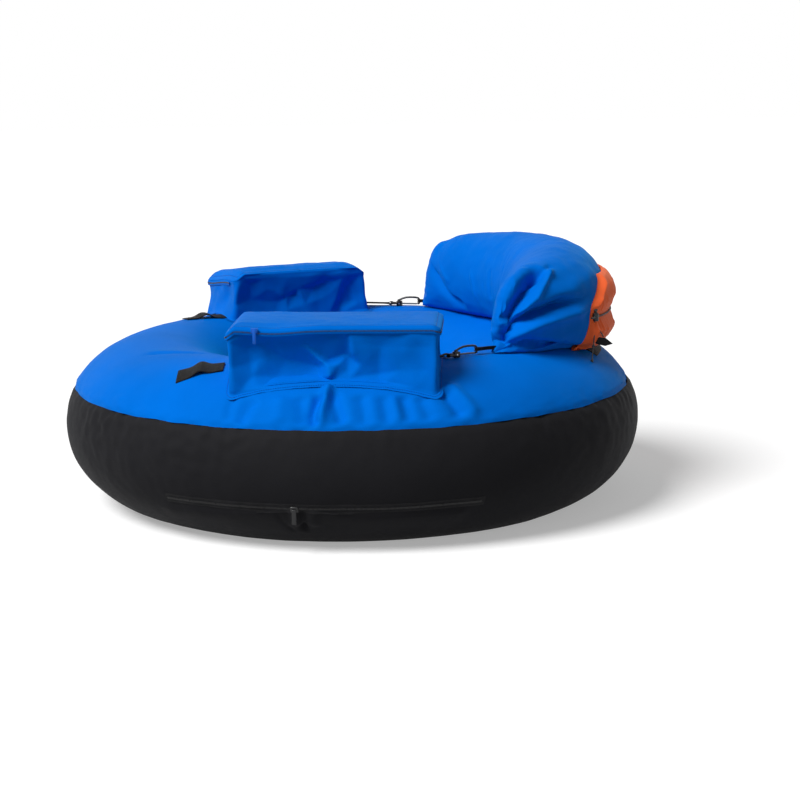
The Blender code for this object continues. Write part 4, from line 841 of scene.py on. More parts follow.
def row_of_blocks(form, route, outward, size, pitch, axes, stand=0.0, taper=1.0):
    """Small blocks along a route: stitches, or the teeth of a zip."""
    travel = 0.0
    for a, b, out in zip(route, route[1:], outward):
        step = (b - a).length
        heading = (b - a).normalized()
        turned = Matrix(axes(heading, out)).transposed().to_4x4()
        while travel < step:
            centre = a.lerp(b, travel / step) + out * stand
            made = bmesh.ops.create_cube(form, size=1.0, matrix=Matrix.Translation(centre)
                                         @ turned @ Matrix.Diagonal((*size, 1.0)))
            if taper < 1.0:
                top = [vert for vert in made["verts"] if (vert.co - centre).dot(out) > 0]
                bmesh.ops.scale(form, vec=(taper,) * 3, verts=top,
                                space=Matrix.Translation(-centre))
            travel += pitch
        travel -= step


def stitches(form, route, outward, pitch=0.0042, length=0.0028):
    row_of_blocks(form, route, outward, (length, STITCH_WIDTH, STITCH_WIDTH), pitch, square,
                  taper=0.7)


def thread(name, colour):
    """Bonded sewing thread: smooth, a little glossy, its twist as fine bands."""
    material, add = new_finish(name)
    return finished(material, {"Base Color": toned(add, grain(add, 900.0), colour, 0.7),
                               "Roughness": 0.45, "Specular IOR Level": 0.2})


blue_thread = thread("blue_thread", (0.0, 0.055, 0.33))


def seam_row(name, points, outward, material, body):
    """A row of stitches as a piece of its own."""
    form = bmesh.new()
    stitches(form, points, outward)
    return show(name, form, material, body, smooth=False)


for side in ("left", "right"):
    place = partial(pocket_place, side)
    girth = 4 * (POCKET_HALF_DEPTH + POCKET_HALF_LENGTH[side])
    show(side + "_pocket", cloth_grid(POCKET_STEPS, (girth, 0.33), place), blue_cloth, "tube",
         side + "_pocket_body")
    sewn = vectors(place(np.linspace(0.0, 1.0, SEWN_POINTS), np.full(SEWN_POINTS, SEWN_ROW))
                   + upright(0.0006))
    outward = []
    for spot in sewn:
        share = (math.hypot(spot.x, spot.y) - RING_RADIUS) / RING_HALF_WIDTH
        outward.append(Vector(ring_outward(math.atan2(spot.y, spot.x),
                                           math.acos(max(-1.0, min(1.0, share))))))
    seam_row(side + "_pocket_stitches", sewn, outward, blue_thread, "tube")

# Pocket lids
# The top panel of each pocket, with a piped edge and a row of stitches just inside it. It is
# sewn to the pocket along its inner edge, which is its hinge, and zipped round the rest.
LID_HALF_LENGTH = {"left": 0.188, "right": 0.145}
LID_ROWS = ((0.0, POCKET_HALF_DEPTH, 0.0004), (0.30, 0.0030, -0.0004), (0.335, -0.0004, -0.0006),
            (0.36, -0.0020, 0.0000), (0.385, -0.0014, 0.0008), (0.41, 0.0012, 0.0022),
            (0.44, 0.0055, 0.0028), (0.455, 0.0070, 0.0026), (0.47, 0.0085, 0.0034),
            (0.60, 0.0300, 0.0056), (1.0, POCKET_HALF_DEPTH, 0.0070))
# The lid's outer edge hangs over the zip as a rain flap
LID_SKIRT = 0.0080
LID_SKIRT_ROWS = (0.30, 0.335, 0.365, 0.42)
LID_CROWN = {"left": 0.0, "right": 0.0040}
LID_STEPS = (300, 90)
LID_RUMPLES = ((0.0026, 0.055, 31.0), (0.0008, 0.02, 32.0))
LID_SEWN_ROW = 0.455
UP = Vector((0.0, 0.0, 1.0))


def lid_place(side, around, rows):
    """A lid's cloth, from its middle underneath, round the piped edge and over the top."""
    table = np.array(LID_ROWS)
    inset = np.interp(rows, table[:, 0], table[:, 1])
    lift = np.interp(rows, table[:, 0], table[:, 2])
    hinge_side = smooth_step(0.12, 0.07, around) + smooth_step(0.88, 0.93, around)
    inset = np.minimum(inset + 0.0040 * hinge_side, POCKET_HALF_DEPTH)
    x, y, out_x, _ = inset_box(around, LID_HALF_LENGTH[side], inset)
    y = y + POCKET_SHIFT[side]
    top = pocket_top(side, y, x)
    crown = LID_CROWN[side] * (1.0 - (np.abs(x) / POCKET_HALF_DEPTH) ** 2)
    spots = pocket_to_ring(side, x + POCKET_INNER_RADIUS + POCKET_HALF_DEPTH, y, top)
    soft = smooth_step(0.45, 0.6, rows)
    skirt = LID_SKIRT * np.interp(rows, LID_SKIRT_ROWS, (0.0, 1.0, 1.0, 0.0))
    lift = lift + crown * soft - skirt * smooth_step(0.3, 0.9, out_x)
    lift = lift + soft * rumpled(spots, LID_RUMPLES)
    return spots + upright(lift)


for side in ("left", "right"):
    place = partial(lid_place, side)
    girth = 4 * (POCKET_HALF_DEPTH + POCKET_HALF_LENGTH[side])
    form = cloth_grid(LID_STEPS, (girth, 0.2), place)
    bmesh.ops.holes_fill(form, edges=[edge for edge in form.edges if edge.is_boundary], sides=0)
    show(side + "_lid_panel", form, blue_cloth, side + "_lid", side + "_pocket_lid")
    sewn = vectors(place(np.linspace(0.0, 1.0, SEWN_POINTS), np.full(SEWN_POINTS, LID_SEWN_ROW))
                   + upright(0.0004))
    seam_row(side + "_lid_stitches", sewn, [UP] * len(sewn), blue_thread, side + "_lid")

# Pocket zips
# Blue zip tape sewn inside the rim of each pocket, with a black nylon coil that shows as a
# thin line, and a coated slider with a flat pull. The near slider is parked at the bow end.
ZIP_TAPE = ((0.0047, 0.0), (0.0050, 0.0006), (0.0039, 0.0009), (-0.0039, 0.0009),
            (-0.0047, 0.0006), (-0.0045, 0.0))
ZIP_LEVEL = 0.3905
ZIP_TOOTH = (0.0012, 0.0010, 0.0026)
ZIP_PITCH = 0.0022
ZIP_START = 0.19
ZIP_SEGMENTS = 260
ZIP_OUTSET = 0.0004


def moulded(name, colour, roughness=0.35, wear=1.35):
    """Moulded nylon: slightly uneven gloss, fine grain, paler where it has rubbed."""
    material, add = new_finish(name)
    cloud = grain(add, 160.0, 4.0)
    return finished(material, {
        "Base Color": toned(add, cloud, colour, 1.0, wear, 0.35, 0.80),
        "Roughness": add("MapRange", "Result", {"Value": cloud, "To Min": roughness - 0.08,
                                                "To Max": roughness + 0.12}),
        "Normal": bumped(add, grain(add, 1400.0), 0.00005, 0.3), "Specular IOR Level": 0.3})


black_nylon = moulded("black_nylon", (0.014, 0.014, 0.015), 0.28)
blue_nylon = moulded("blue_nylon", (0.0, 0.085, 0.46), 0.45)


def zip_route(side):
    """The zip's line round a pocket's rim, clear of its sewn inner edge."""
    turn = np.linspace(ZIP_START, 1.0 - ZIP_START, ZIP_SEGMENTS)
    half_y = (POCKET_HALF_LENGTH[side] + ZIP_OUTSET
              - POCKET_END_SLOPE[side] * (ZIP_LEVEL - RING_TOP) / POCKET_RISE)
    x, y, out_x, out_y = rounded_box(turn, POCKET_HALF_DEPTH + ZIP_OUTSET, half_y, POCKET_CORNER)
    y = y + POCKET_SHIFT[side]
    height = pocket_top(side, y, x) - POCKET_TOP + ZIP_LEVEL
    spots = pocket_to_ring(side, x + POCKET_INNER_RADIUS + POCKET_HALF_DEPTH, y, height)
    return vectors(spots), vectors(pocket_to_ring(side, out_x, out_y, 0.0 * x))


for side in ("left", "right"):
    route, out = zip_route(side)
    form = bmesh.new()
    swept(form, route, list(ZIP_TAPE), out)
    show(side + "_zip_tape", form, blue_cloth, "tube", side + "_pocket_zip_tape")
    coil = bmesh.new()
    row_of_blocks(coil, route, out, ZIP_TOOTH, ZIP_PITCH, lambda heading, out: (heading, out, UP),
                  stand=0.0012)
    show(side + "_zip_coil", coil, black_nylon, "tube", smooth=False)

# Backrest
# An inflated crescent cushion of the same blue cloth, whose two panels meet in an upright seam
# at each pointed end. It is a little slack, so the near arm folds under its own weight.
# Each station: azimuth, inner radius, outer radius, and crown above the ring's top
BACKREST_STATIONS = (
    (-54.7, 0.3890, 0.3960, 0.074), (-53.5, 0.3800, 0.4060, 0.090), (-51.0, 0.3650, 0.4200, 0.118),
    (-48.0, 0.3530, 0.4330, 0.138), (-44.0, 0.3400, 0.4480, 0.148), (-40.0, 0.3270, 0.4590, 0.154),
    (-33.0, 0.3120, 0.4760, 0.160), (-25.0, 0.3030, 0.4900, 0.166), (-15.0, 0.2995, 0.4970, 0.171),
    (0.0, 0.2980, 0.4970, 0.176), (20.0, 0.3000, 0.4870, 0.176),
    (33.0, 0.3040, 0.4720, 0.168), (42.0, 0.3140, 0.4540, 0.163), (47.0, 0.3250, 0.4400, 0.157),
    (51.0, 0.3370, 0.4260, 0.146), (54.0, 0.3480, 0.4130, 0.138), (56.0, 0.3580, 0.4010, 0.122),
    (57.2, 0.3650, 0.3930, 0.100), (58.0, 0.3720, 0.3840, 0.066),
)
# The cushion's section, from its inner foot over the crown and back underneath
BACKREST_SECTION = (
    (0.15, 0.0), (0.075, 0.06), (0.020, 0.18), (0.0, 0.34), (0.015, 0.52), (0.065, 0.68),
    (0.16, 0.84), (0.31, 0.96), (0.47, 1.0), (0.63, 0.965), (0.79, 0.885), (0.91, 0.77),
    (0.98, 0.66), (1.0, 0.52), (1.0, 0.42), (0.995, 0.26), (0.970, 0.10), (0.920, 0.0),
    (0.60, 0.0), (0.35, 0.0), (0.15, 0.0),
)
BACKREST_STEPS = (170, 230)
BACKREST_SIZE = (0.72, 0.80)
CUSHION_ENDS = (-54.7, 58.0)
CUSHION_RUMPLES = ((0.0026, 0.070, 41.0), (0.0010, 0.024, 42.0))
CUSHION_PUCKERS = ((0.0016, 0.009, 43.0),)
CLOTH_SETTINGS = {"quality": 4, "mass": 0.2, "tension_stiffness": 12.0,
                  "compression_stiffness": 6.0, "bending_stiffness": 0.2,
                  "use_pressure": True, "uniform_pressure_force": 4.0}
BACKREST_FOLDS = (
    (((276, -296, 468), (300, -292, 462), (316, -285, 462), (336, -264, 469), (352, -243, 474)),
      6, 6, -13),
    (((335, -270, 470), (316, -285, 462), (298, -304, 448), (283, -315, 430), (266, -323, 412),
      (246, -327, 386), (236, -327, 372)), 15, 15, -38),
    (((352, -247, 468), (333, -280, 453), (318, -300, 436), (303, -314, 416), (277, -323, 396),
      (250, -326, 378)), 7, 13, 11),
    (((257, -300, 466), (262, -312, 447), (256, -320, 425), (245, -324, 402), (233, -322, 380)),
      11, 7, 6),
    (((170, -280, 300), (200, -300, 314), (226, -320, 340), (245, -326, 360), (270, -326, 377),
      (302, -317, 392), (355, -290, 404), (425, -215, 408)), 8.5, 13, -34),
    (((232, -323, 338), (261, -326, 354), (296, -320, 366), (335, -304, 374), (387, -266, 380),
      (430, -205, 384)), 11, 12, 12),
    (((212, -309, 320), (241, -324, 334), (283, -322, 334), (330, -302, 322), (394, -244, 302),
      (420, -205, 296)), 10, 11, -20),
    (((330, -300, 412), (375, -265, 424), (420, -205, 434), (440, -160, 440)), 14, 16, 3.5),
    (((240, -262, 478), (250, -276, 474), (262, -290, 469), (270, -300, 464)), 2.6, 3.2, -4),
    (((236, -274, 474), (246, -288, 468), (256, -302, 460), (262, -312, 448)), 2.8, 3.2, 3),
    (((283, -268, 477), (278, -283, 472), (272, -302, 462)), 2.6, 3, -3.6),
    (((188, 280, 425), (205, 262, 400), (221, 240, 374), (240, 210, 352), (262, 168, 338)), 6, 12,
      -13),
    (((197, 262, 452), (212, 250, 420), (222, 228, 395), (235, 205, 380)), 6, 8, 3),
    (((262, 150, 420), (268, 135, 385), (272, 125, 350), (274, 120, 325)), 6, 4, 3.2),
    (((285, 80, 430), (287, 70, 395), (288, 64, 360)), 10, 6, -3),
    (((450, 150, 430), (400, 262, 400), (340, 318, 372), (262, 345, 345)), 12, 12, -8),
)
CUSHION_TRAVEL = 0.006


def eased(table, samples=1200, share=0.02, closed=False):
    """A table read as a smooth line: a key column and the values at evenly spaced keys."""
    table = np.array(table, dtype=float)
    keys = np.linspace(table[0, 0], table[-1, 0], samples)
    reach = max(1, int(samples * share))
    weights = np.hanning(2 * reach + 3)[1:-1]
    weights = weights / weights.sum()
    columns = []
    for column in table[:, 1:].T:
        line = np.interp(keys, table[:, 0], column)
        if closed:
            padded = np.concatenate((line[-reach - 1:-1], line, line[1:reach + 1]))
        else:
            padded = np.concatenate((2 * line[0] - line[reach:0:-1], line,
                                     2 * line[-1] - line[-2:-reach - 2:-1]))
        columns.append(np.convolve(padded, weights, mode="valid"))
    return keys, columns


section_travel = [0.0]
for spot_a, spot_b in zip(BACKREST_SECTION, BACKREST_SECTION[1:]):
    section_travel.append(section_travel[-1] + math.dist(spot_a, spot_b))
section_rows = [(travel / section_travel[-1], *spot)
                for travel, spot in zip(section_travel, BACKREST_SECTION)]
section_keys, (section_across, section_up) = eased(section_rows, share=0.018, closed=True)
station_keys, (station_inner, station_outer, station_crown) = eased(BACKREST_STATIONS, share=0.018)


def cushion_place(inset, ends, around, along):
    """Places on the cushion, drawn in by inset, between two azimuths in degrees."""
    azimuth = between(ends, along)
    inner = np.interp(azimuth, station_keys, station_inner) + inset
    outer = np.interp(azimuth, station_keys, station_outer) - inset
    crown = np.interp(azimuth, station_keys, station_crown) - inset
    across = np.interp(around, section_keys, section_across)
    up = np.maximum(np.interp(around, section_keys, section_up), 0.0)
    radius = inner + across * (outer - inner)
    flare = 1.6 * smooth_step(44.0, CUSHION_ENDS[1], azimuth) * (1.0 - up)
    flare = flare - 2.2 * smooth_step(-45.0, CUSHION_ENDS[0], azimuth) * (1.0 - up) ** 1.5
    foot = ring_top_height(radius, 0.0) + 0.0020 + inset
    return polar(radius, np.radians(azimuth + flare), foot + up * (RING_TOP + crown - foot))


def capped(form):
    """Close a form's open ends with narrow triangles."""
    made = bmesh.ops.holes_fill(form, edges=[edge for edge in form.edges if edge.is_boundary],
                                sides=0)
    bmesh.ops.triangulate(form, faces=made["faces"])
    bmesh.ops.recalc_face_normals(form, faces=form.faces)
    return form


def read_all(rows, key):
    values = np.empty(len(rows) * 3, dtype=np.float32)
    rows.foreach_get(key, values)
    return values.reshape(-1, 3).astype(float)


def move_onto_ring(mesh, spots):
    """Move a mesh's points, none of them into the ring."""
    floor_height = ring_top_height(spots[:, 0], spots[:, 1]) + RING_CLEARANCE
    spots[:, 2] = np.maximum(spots[:, 2], floor_height)
    mesh.vertices.foreach_set("co", spots.astype(np.float32).ravel())
    mesh.update()


def finished_mesh(item):
    """Take a piece's modifiers into its mesh."""
    bpy.context.view_layer.update()
    shaped = item.evaluated_get(bpy.context.evaluated_depsgraph_get())
    mesh = bpy.data.meshes.new_from_object(shaped)
    item.modifiers.clear()
    old = item.data
    item.data = mesh
    bpy.data.meshes.remove(old)


def puffed(item, travel, frames=20):
    """Let air pressure settle a closed cloth piece, move no point further than travel."""
    start = read_all(item.data.vertices, "co")
    cloth = item.modifiers.new("Cloth", "CLOTH")
    for key, value in CLOTH_SETTINGS.items():
        setattr(cloth.settings, key, value)
    cloth.settings.effector_weights.gravity = 0.0
    cloth.point_cache.frame_end = frames
    for step in range(1, frames + 1):
        bpy.context.scene.frame_set(step)
    finished_mesh(item)
    bpy.context.scene.frame_set(1)
    step = read_all(item.data.vertices, "co") - start
    length = np.maximum(np.linalg.norm(step, axis=1), 1e-9)
    reach = travel * np.tanh(length / travel)
    move_onto_ring(item.data, start + step * (reach / length)[:, None])
    item.modifiers.new("Subdivision", "SUBSURF").levels = 1
    finished_mesh(item)


form = cloth_grid(BACKREST_STEPS, BACKREST_SIZE, partial(cushion_place, 0.0, CUSHION_ENDS))
cushion = show("backrest_cushion", capped(form), blue_cloth, "backrest")
puffed(cushion, CUSHION_TRAVEL)
spots = read_all(cushion.data.vertices, "co")
outward = read_all(cushion.data.vertex_normals, "vector")
above = smooth_step(0.0, 0.012, spots[:, 2] - ring_top_height(spots[:, 0], spots[:, 1]) - 0.002)
lift = fold_heights(spots, outward, BACKREST_FOLDS)
lift += rumpled(spots, CUSHION_RUMPLES) * above
azimuth = np.degrees(np.arctan2(spots[:, 1], spots[:, 0]))
seam_away = np.minimum(*[np.abs(azimuth - end) for end in CUSHION_ENDS])
lift += np.exp(-seam_away / 3.0) * rumpled(upright(spots[:, 2]), CUSHION_PUCKERS) * above
move_onto_ring(cushion.data, spots + outward * lift[:, None])
cushion.data.shade_smooth()
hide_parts("backrest_cover")

# Air bladders
# Welded vinyl tubes inside the covers, hidden when the float is made up. They stand back from
# the folds of the cloth, and each is open only at its valve.
BLADDER_BACK = 0.020
CUSHION_BLADDER_BACK = 0.044
CUSHION_BLADDER_ENDS = (-34.0, 44.0)


def vinyl(name, colour):
    """Calendered vinyl film: cloudy, semi-gloss, faintly see-through looking in its colour."""
    material, add = new_finish(name)
    return finished(material, {
        "Base Color": toned(add, grain(add, 14.0, 6.0), colour, 0.8), "Roughness": 0.32,
        "Normal": bumped(add, grain(add, 60.0, 3.0), 0.0006, 0.4)})


bladder_vinyl = vinyl("bladder_vinyl", (0.52, 0.47, 0.38))


def bladder_place(around, round_section):
    azimuth = all_round(around)
    angle = round_section * 2 * math.pi
    spots = ring_skin(azimuth, angle, back=BLADDER_BACK)
    return ring_skin(azimuth, angle, 0.002 * rumple(spots, 0.05, 51.0), BLADDER_BACK)


show("ring_bladder", cloth_grid((260, 60), (2.4, 0.9), bladder_place), bladder_vinyl, "tube",
     "main_bladder")
form = cloth_grid((90, 110), (0.6, 0.7),
                  partial(cushion_place, CUSHION_BLADDER_BACK, CUSHION_BLADDER_ENDS))
show("cushion_bladder", capped(form), bladder_vinyl, "backrest", "backrest_bladder")

# Seam bindings
# Black grosgrain tape sewn inside over the raw edges of the two covers, along the outer seam
# and round the hole. It follows the puckers of the seam that it holds.
BINDING_HALF = 0.075
BINDING_DEPTH = -0.0040
BINDING_THICKNESS = 0.0008


def thickened(form, thickness):
    bmesh.ops.recalc_face_normals(form, faces=form.faces)
    bmesh.ops.solidify(form, geom=form.faces[:], thickness=thickness)
    bmesh.ops.recalc_face_normals(form, faces=form.faces)
    return form


for name, middle, node in (("outer_binding", OUTER_SEAM, "outer_seam_binding"),
                           ("hole_binding", math.pi, "hole_seam_binding")):
    def binding_place(around, over, middle=middle):
        azimuth = all_round(around)
        angle = middle + (over - 0.5) * 2 * BINDING_HALF
        deeper = np.minimum(fold_heights(ring_skin(azimuth, angle), ring_outward(azimuth, angle),
                                         UPPER_FOLDS + LOWER_FOLDS), 0.0)
        lift = BINDING_DEPTH - SEAM_TUCK + UPPER_COVER["fold_share"] * deeper
        return ring_skin(azimuth, angle, lift)
    form = cloth_grid((600, 6), (OUTER_GIRTH, 0.024), binding_place)
    show(name, thickened(form, BINDING_THICKNESS), black_webbing, "tube", node)

# Rear pouch
# A high-visibility orange pocket across the back of the cushion, in two lobes drawn together
# at mid height by a cord that runs through it. Its near end is what the camera sees.
ORANGE = (0.98, 0.145, 0.040)
POUCH_ENDS = (-30.2, 33.5)
POUCH_STEPS = (420, 110)
POUCH_RADIUS = 0.48
CINCH_HEIGHT = 0.365
# Rows of the pouch: share of the rows, height and stand-off from the cushion
POUCH_ROWS = ((0.0, 0.3020, 0.0008), (0.05, 0.3030, 0.0060), (0.12, 0.3130, 0.0130),
              (0.24, 0.3380, 0.0150), (0.34, 0.3560, 0.0070), (0.38, 0.3635, 0.0028),
              (0.42, 0.3665, 0.0028), (0.46, 0.3740, 0.0070), (0.56, 0.3960, 0.0150),
              (0.68, 0.4200, 0.0150), (0.77, 0.4350, 0.0100), (0.81, 0.4395, 0.0040),
              (0.83, 0.4390, 0.0008), (1.0, 0.3020, 0.0008))
cushion_skin = BVHTree.FromPolygons([vert.co for vert in cushion.data.vertices],
                                    [tuple(face.vertices) for face in cushion.data.polygons])
orange_cloth = pack_cloth("orange_cloth", ORANGE, (1.0, 0.6, 0.35), roughness=0.6, gloss=0.2)


def skin_radius(azimuth, height):
    """How far out the cushion's rear face lies at azimuths and heights."""
    found = np.empty(len(azimuth))
    for index, (turn, level) in enumerate(zip(azimuth, height)):
        heading = Vector((math.cos(turn), math.sin(turn), 0.0))
        hit = cushion_skin.ray_cast(heading * 0.62 + Vector((0.0, 0.0, level)), -heading)[0]
        found[index] = math.hypot(hit.x, hit.y) if hit and hit.dot(heading) > 0.33 else np.nan
    return found


pouch_turns = np.radians(np.linspace(POUCH_ENDS[0] - 1.0, POUCH_ENDS[1] + 1.0, 90))
pouch_levels = np.linspace(0.296, 0.446, 40)
grid_turn, grid_level = np.meshgrid(pouch_turns, pouch_levels, indexing="ij")
skin_grid = skin_radius(grid_turn.ravel(), grid_level.ravel()).reshape(grid_turn.shape)
for row in skin_grid:
    known = ~np.isnan(row)
    row[~known] = np.interp(pouch_levels[~known], pouch_levels[known], row[known])


def behind_cushion(azimuth, height):
    """The cushion's rear radius, read smoothly from the grid of soundings."""
    column = np.interp(azimuth, pouch_turns, np.arange(len(pouch_turns)))
    row = np.interp(height, pouch_levels, np.arange(len(pouch_levels)))
    low_c = np.minimum(column.astype(int), len(pouch_turns) - 2)
    low_r = np.minimum(row.astype(int), len(pouch_levels) - 2)
    share_c, share_r = column - low_c, row - low_r
    return ((1 - share_c) * ((1 - share_r) * skin_grid[low_c, low_r]
                             + share_r * skin_grid[low_c, low_r + 1])
            + share_c * ((1 - share_r) * skin_grid[low_c + 1, low_r]
                         + share_r * skin_grid[low_c + 1, low_r + 1]))


def pouch_place(along, rows):
    table = np.array(POUCH_ROWS)
    height = np.interp(rows, table[:, 0], table[:, 1])
    lobe = np.interp(rows, table[:, 0], table[:, 2])
    azimuth = np.radians(between(POUCH_ENDS, along))
    slant = np.interp(height, (0.302, 0.350, CINCH_HEIGHT, 0.385, 0.4395),
                      (-0.8, 0.4, 1.6, 1.2, 9.5))
    azimuth = azimuth + np.radians(slant) * smooth_step(0.32, 0.0, along)
    ends = smooth_step(0.0, 0.035, along) * smooth_step(1.0, 0.965, along)
    laid_flat = polar(azimuth * POUCH_RADIUS, 0.0, height)
    near_cord = np.exp(-np.abs(height - CINCH_HEIGHT) / 0.024)
    ridges = rumple(laid_flat * (1.0, 0.0, 0.0), 0.0065, 61.0) * near_cord
    broad = rumple(laid_flat, 0.030, 62.0)
    outer = lobe * (1.0 + 0.35 * broad + 0.55 * ridges)
    stand = np.where(rows < 0.83, np.maximum(outer, 0.0016), lobe) * ends + 0.0008
    radius = behind_cushion(azimuth, height) + np.where(rows < 0.83, stand, 0.0006)
    height = height + 0.003 * ridges * np.sign(height - CINCH_HEIGHT) * (rows < 0.8)
    return polar(radius, azimuth, height)


form = capped(cloth_grid(POUCH_STEPS, (0.53, 0.30), pouch_place))
pouch = show("orange_pouch", form, orange_cloth, "backrest", "rear_pouch")

# Drawcord
# The braided cord that cinches the pouch. It lies in the groove between the lobes on both
# sides of the cord lock, and its tails hang from the lock.
DRAWCORD_DIAMETER = 0.0032
LOCK_TURN = math.radians(-27.6)
LOCK_CLEAR = math.radians(0.85)
for name, first, last in (("drawcord", math.radians(32.4), LOCK_TURN + LOCK_CLEAR),
                          ("drawcord_end", LOCK_TURN - LOCK_CLEAR, math.radians(-29.9))):
    turns = np.linspace(first, last, 160 if name == "drawcord" else 10)
    radii = behind_cushion(turns, np.full(len(turns), CINCH_HEIGHT)) + 0.0062
    radii = radii + 0.0006 * rumple(np.stack((turns, turns, turns), axis=-1), 0.03, 65.0)
    form = bmesh.new()
    swept(form, vectors(polar(radii, turns, CINCH_HEIGHT)),
          round_outline(DRAWCORD_DIAMETER, TAIL_SIDES), UP)
    show(name + "_braid", form, black_braid, "backrest", name)

# Zip of the lower cover
# A long black zip in the lower cover's outer face, through which the ring's bladder goes in.
# Its tape is sewn on by both edges over a moulded coil, and its pull hangs from the slider.
COVER_ZIP_TURNS = (math.radians(-135.0), math.radians(-72.0))
COVER_ZIP_ANGLES = (math.radians(-21.4), math.radians(-28.2))
COVER_ZIP_LIFT = 0.0003
COVER_ZIP_TOOTH = (0.0011, 0.0042, 0.0012)


def on_lower_cover(azimuth, angle, lift):
    """Places on the lower cover's own skin, folds and all, raised by lift."""
    around = azimuth / (2 * math.pi) + 0.5
    down = (OUTER_SEAM - angle) / (math.pi + OUTER_SEAM)
    return cover_place(LOWER_COVER, around, down) + ring_outward(azimuth, angle) * lift


def cover_zip_place(along, across):
    edge = smooth_step(0.0, 0.06, across) * smooth_step(1.0, 0.94, across)
    crown = COVER_ZIP_LIFT * (1.0 + np.exp(-((across - 0.5) / 0.10) ** 2))
    return on_lower_cover(between(COVER_ZIP_TURNS, along), between(COVER_ZIP_ANGLES, across),
                          (COVER_ZIP_LIFT + crown * edge)[:, None])


black_tape = ribbed("black_tape", (0.0125, 0.0125, 0.0140), rib=0.0008, sheen=0.0)
black_thread = thread("black_thread", (0.014, 0.014, 0.015))
show("cover_zip", cloth_grid((520, 22), (0.60, 0.024), cover_zip_place), black_tape, "tube",
     "cover_zip_tape")
zip_turns = np.linspace(COVER_ZIP_TURNS[0] + 0.01, COVER_ZIP_TURNS[1] - 0.01, 420)
zip_angle = between(COVER_ZIP_ANGLES, 0.5)
zip_out = vectors(ring_outward(zip_turns, zip_angle))
form = bmesh.new()
row_of_blocks(form, vectors(on_lower_cover(zip_turns, zip_angle, 0.0008)), zip_out,
              COVER_ZIP_TOOTH, ZIP_PITCH,
              lambda heading, out: (heading, out.cross(heading).normalized(), out))
show("cover_zip_coil", form, black_nylon, "tube", smooth=False)
for name, share in (("cover_zip_stitches_high", 0.12), ("cover_zip_stitches_low", 0.88)):
    sewn = vectors(on_lower_cover(zip_turns, between(COVER_ZIP_ANGLES, share), 0.0007))
    seam_row(name, sewn, zip_out, black_thread, "tube")

# Webbing tabs
# A length of black webbing ahead of each pocket, sewn down to the ring at both ends and
# arched between them, for tying gear down.
TAB_START = {"left": 0.2040, "right": 0.1475}
TAB_INSET = {"left": 0.002, "right": 0.050}
TAB_SIZE = (0.085, 0.036)
TAB_ARCH = 0.0070
TAB_THICKNESS = 0.0018
# The sewing at each end: a box and a cross in it
TAB_BOX = ((0, 0), (1, 0), (1, 1), (0, 1), (0, 0), (1, 1), (1, 0), (0, 1))


def tab_spots(side, lift, along, across):
    """Places along and across a webbing tab on the ring's upper skin."""
    sign = -1.0 if side == "left" else 1.0
    turn = POCKET_AZIMUTH[side]
    outward = (math.cos(turn), math.sin(turn))
    forward = (-outward[1] * sign, outward[0] * sign)
    reach = RING_RADIUS - TAB_INSET[side] + (across - 0.5) * TAB_SIZE[1]
    start = TAB_START[side] + TAB_SIZE[0] * along
    x = outward[0] * reach + forward[0] * start
    y = outward[1] * reach + forward[1] * start
    bow = np.sin(math.pi * smooth_step(0.14, 0.86, along)) ** 2 * TAB_ARCH
    cup = 0.0010 * np.sin(math.pi * across) * np.sin(math.pi * along)
    return np.stack((x, y, ring_top_height(x, y) + lift + bow + cup), axis=-1)


for side in ("left", "right"):
    form = cloth_grid((110, 14), TAB_SIZE, partial(tab_spots, side, 0.0006))
    show(side + "_tab", thickened(form, -TAB_THICKNESS), black_webbing, "tube",
         side + "_webbing_tab")
    form = bmesh.new()
    for end in (0.02, 0.86):
        corners = [(end + 0.12 * along, 0.10 + 0.80 * across) for along, across in TAB_BOX]
        for a, b in zip(corners, corners[1:]):
            along, across = [between(ends, np.linspace(0.0, 1.0, 12)) for ends in zip(a, b)]
            stitches(form, vectors(tab_spots(side, 0.0026, along, across)), [UP] * 12,
                     pitch=0.0034, length=0.0024)
    show(side + "_tab_stitches", form, black_thread, "tube", smooth=False)

# Hinge flap of the backrest
# A wide strip of black webbing under the cushion's rear foot, sewn to the cushion and to the
# ring, on which the backrest tips back.
HINGE_SPAN = math.radians(24.0)
HINGE_RADII = (0.461, 0.488)
HINGE_THICKNESS = 0.0012


def hinge_place(along, across):
    radius = between(HINGE_RADII, across)
    spots = polar(radius, between((-HINGE_SPAN, HINGE_SPAN), along), 0.0)
    ripple = 0.0005 * rumple(spots, 0.03, 71.0)
    return spots + upright(ring_top_height(radius, 0.0) + 0.0006 + ripple)


form = cloth_grid((160, 12), (0.46, 0.032), hinge_place)
show("hinge_flap", thickened(form, -HINGE_THICKNESS), black_webbing, "tube",
     "backrest_hinge_flap")

# Snap hooks and their straps
# A moulded hook on either side holds the backrest up: its webbing comes out of the pocket's
# end and turns back round the hook's bar, and its nose holds a thin loop sewn into the cushion.
HOOK_PLACE = (0.3815, math.radians(67.3), 0.3228)
HOOK_TURN = math.radians(21.0)
HOOK_BAR = (-0.0166, 0.0022)
HOOK_STRAP_SIZE = (0.012, 0.0012)
HOOK_STRAP_LENGTH = {"left": 0.024, "right": 0.083}
LOOP_NOSE = (0.0443, 0.0041)
LOOP_SIZE = (0.0012, 0.0055)


def hook_place(sign):
    """The hook's own frame: X from the gate's rivet to the nose, Z up."""
    radius, turn, height = HOOK_PLACE
    return (Matrix.Translation((radius * math.cos(sign * turn), radius * math.sin(sign * turn),
                                height)) @ Matrix.Rotation(-sign * HOOK_TURN, 4, "Z"))


def mirrored(line):
    """A line that comes back on its other side from its last point."""
    return line + [(x, -y) for x, y in reversed(line[:-1])]


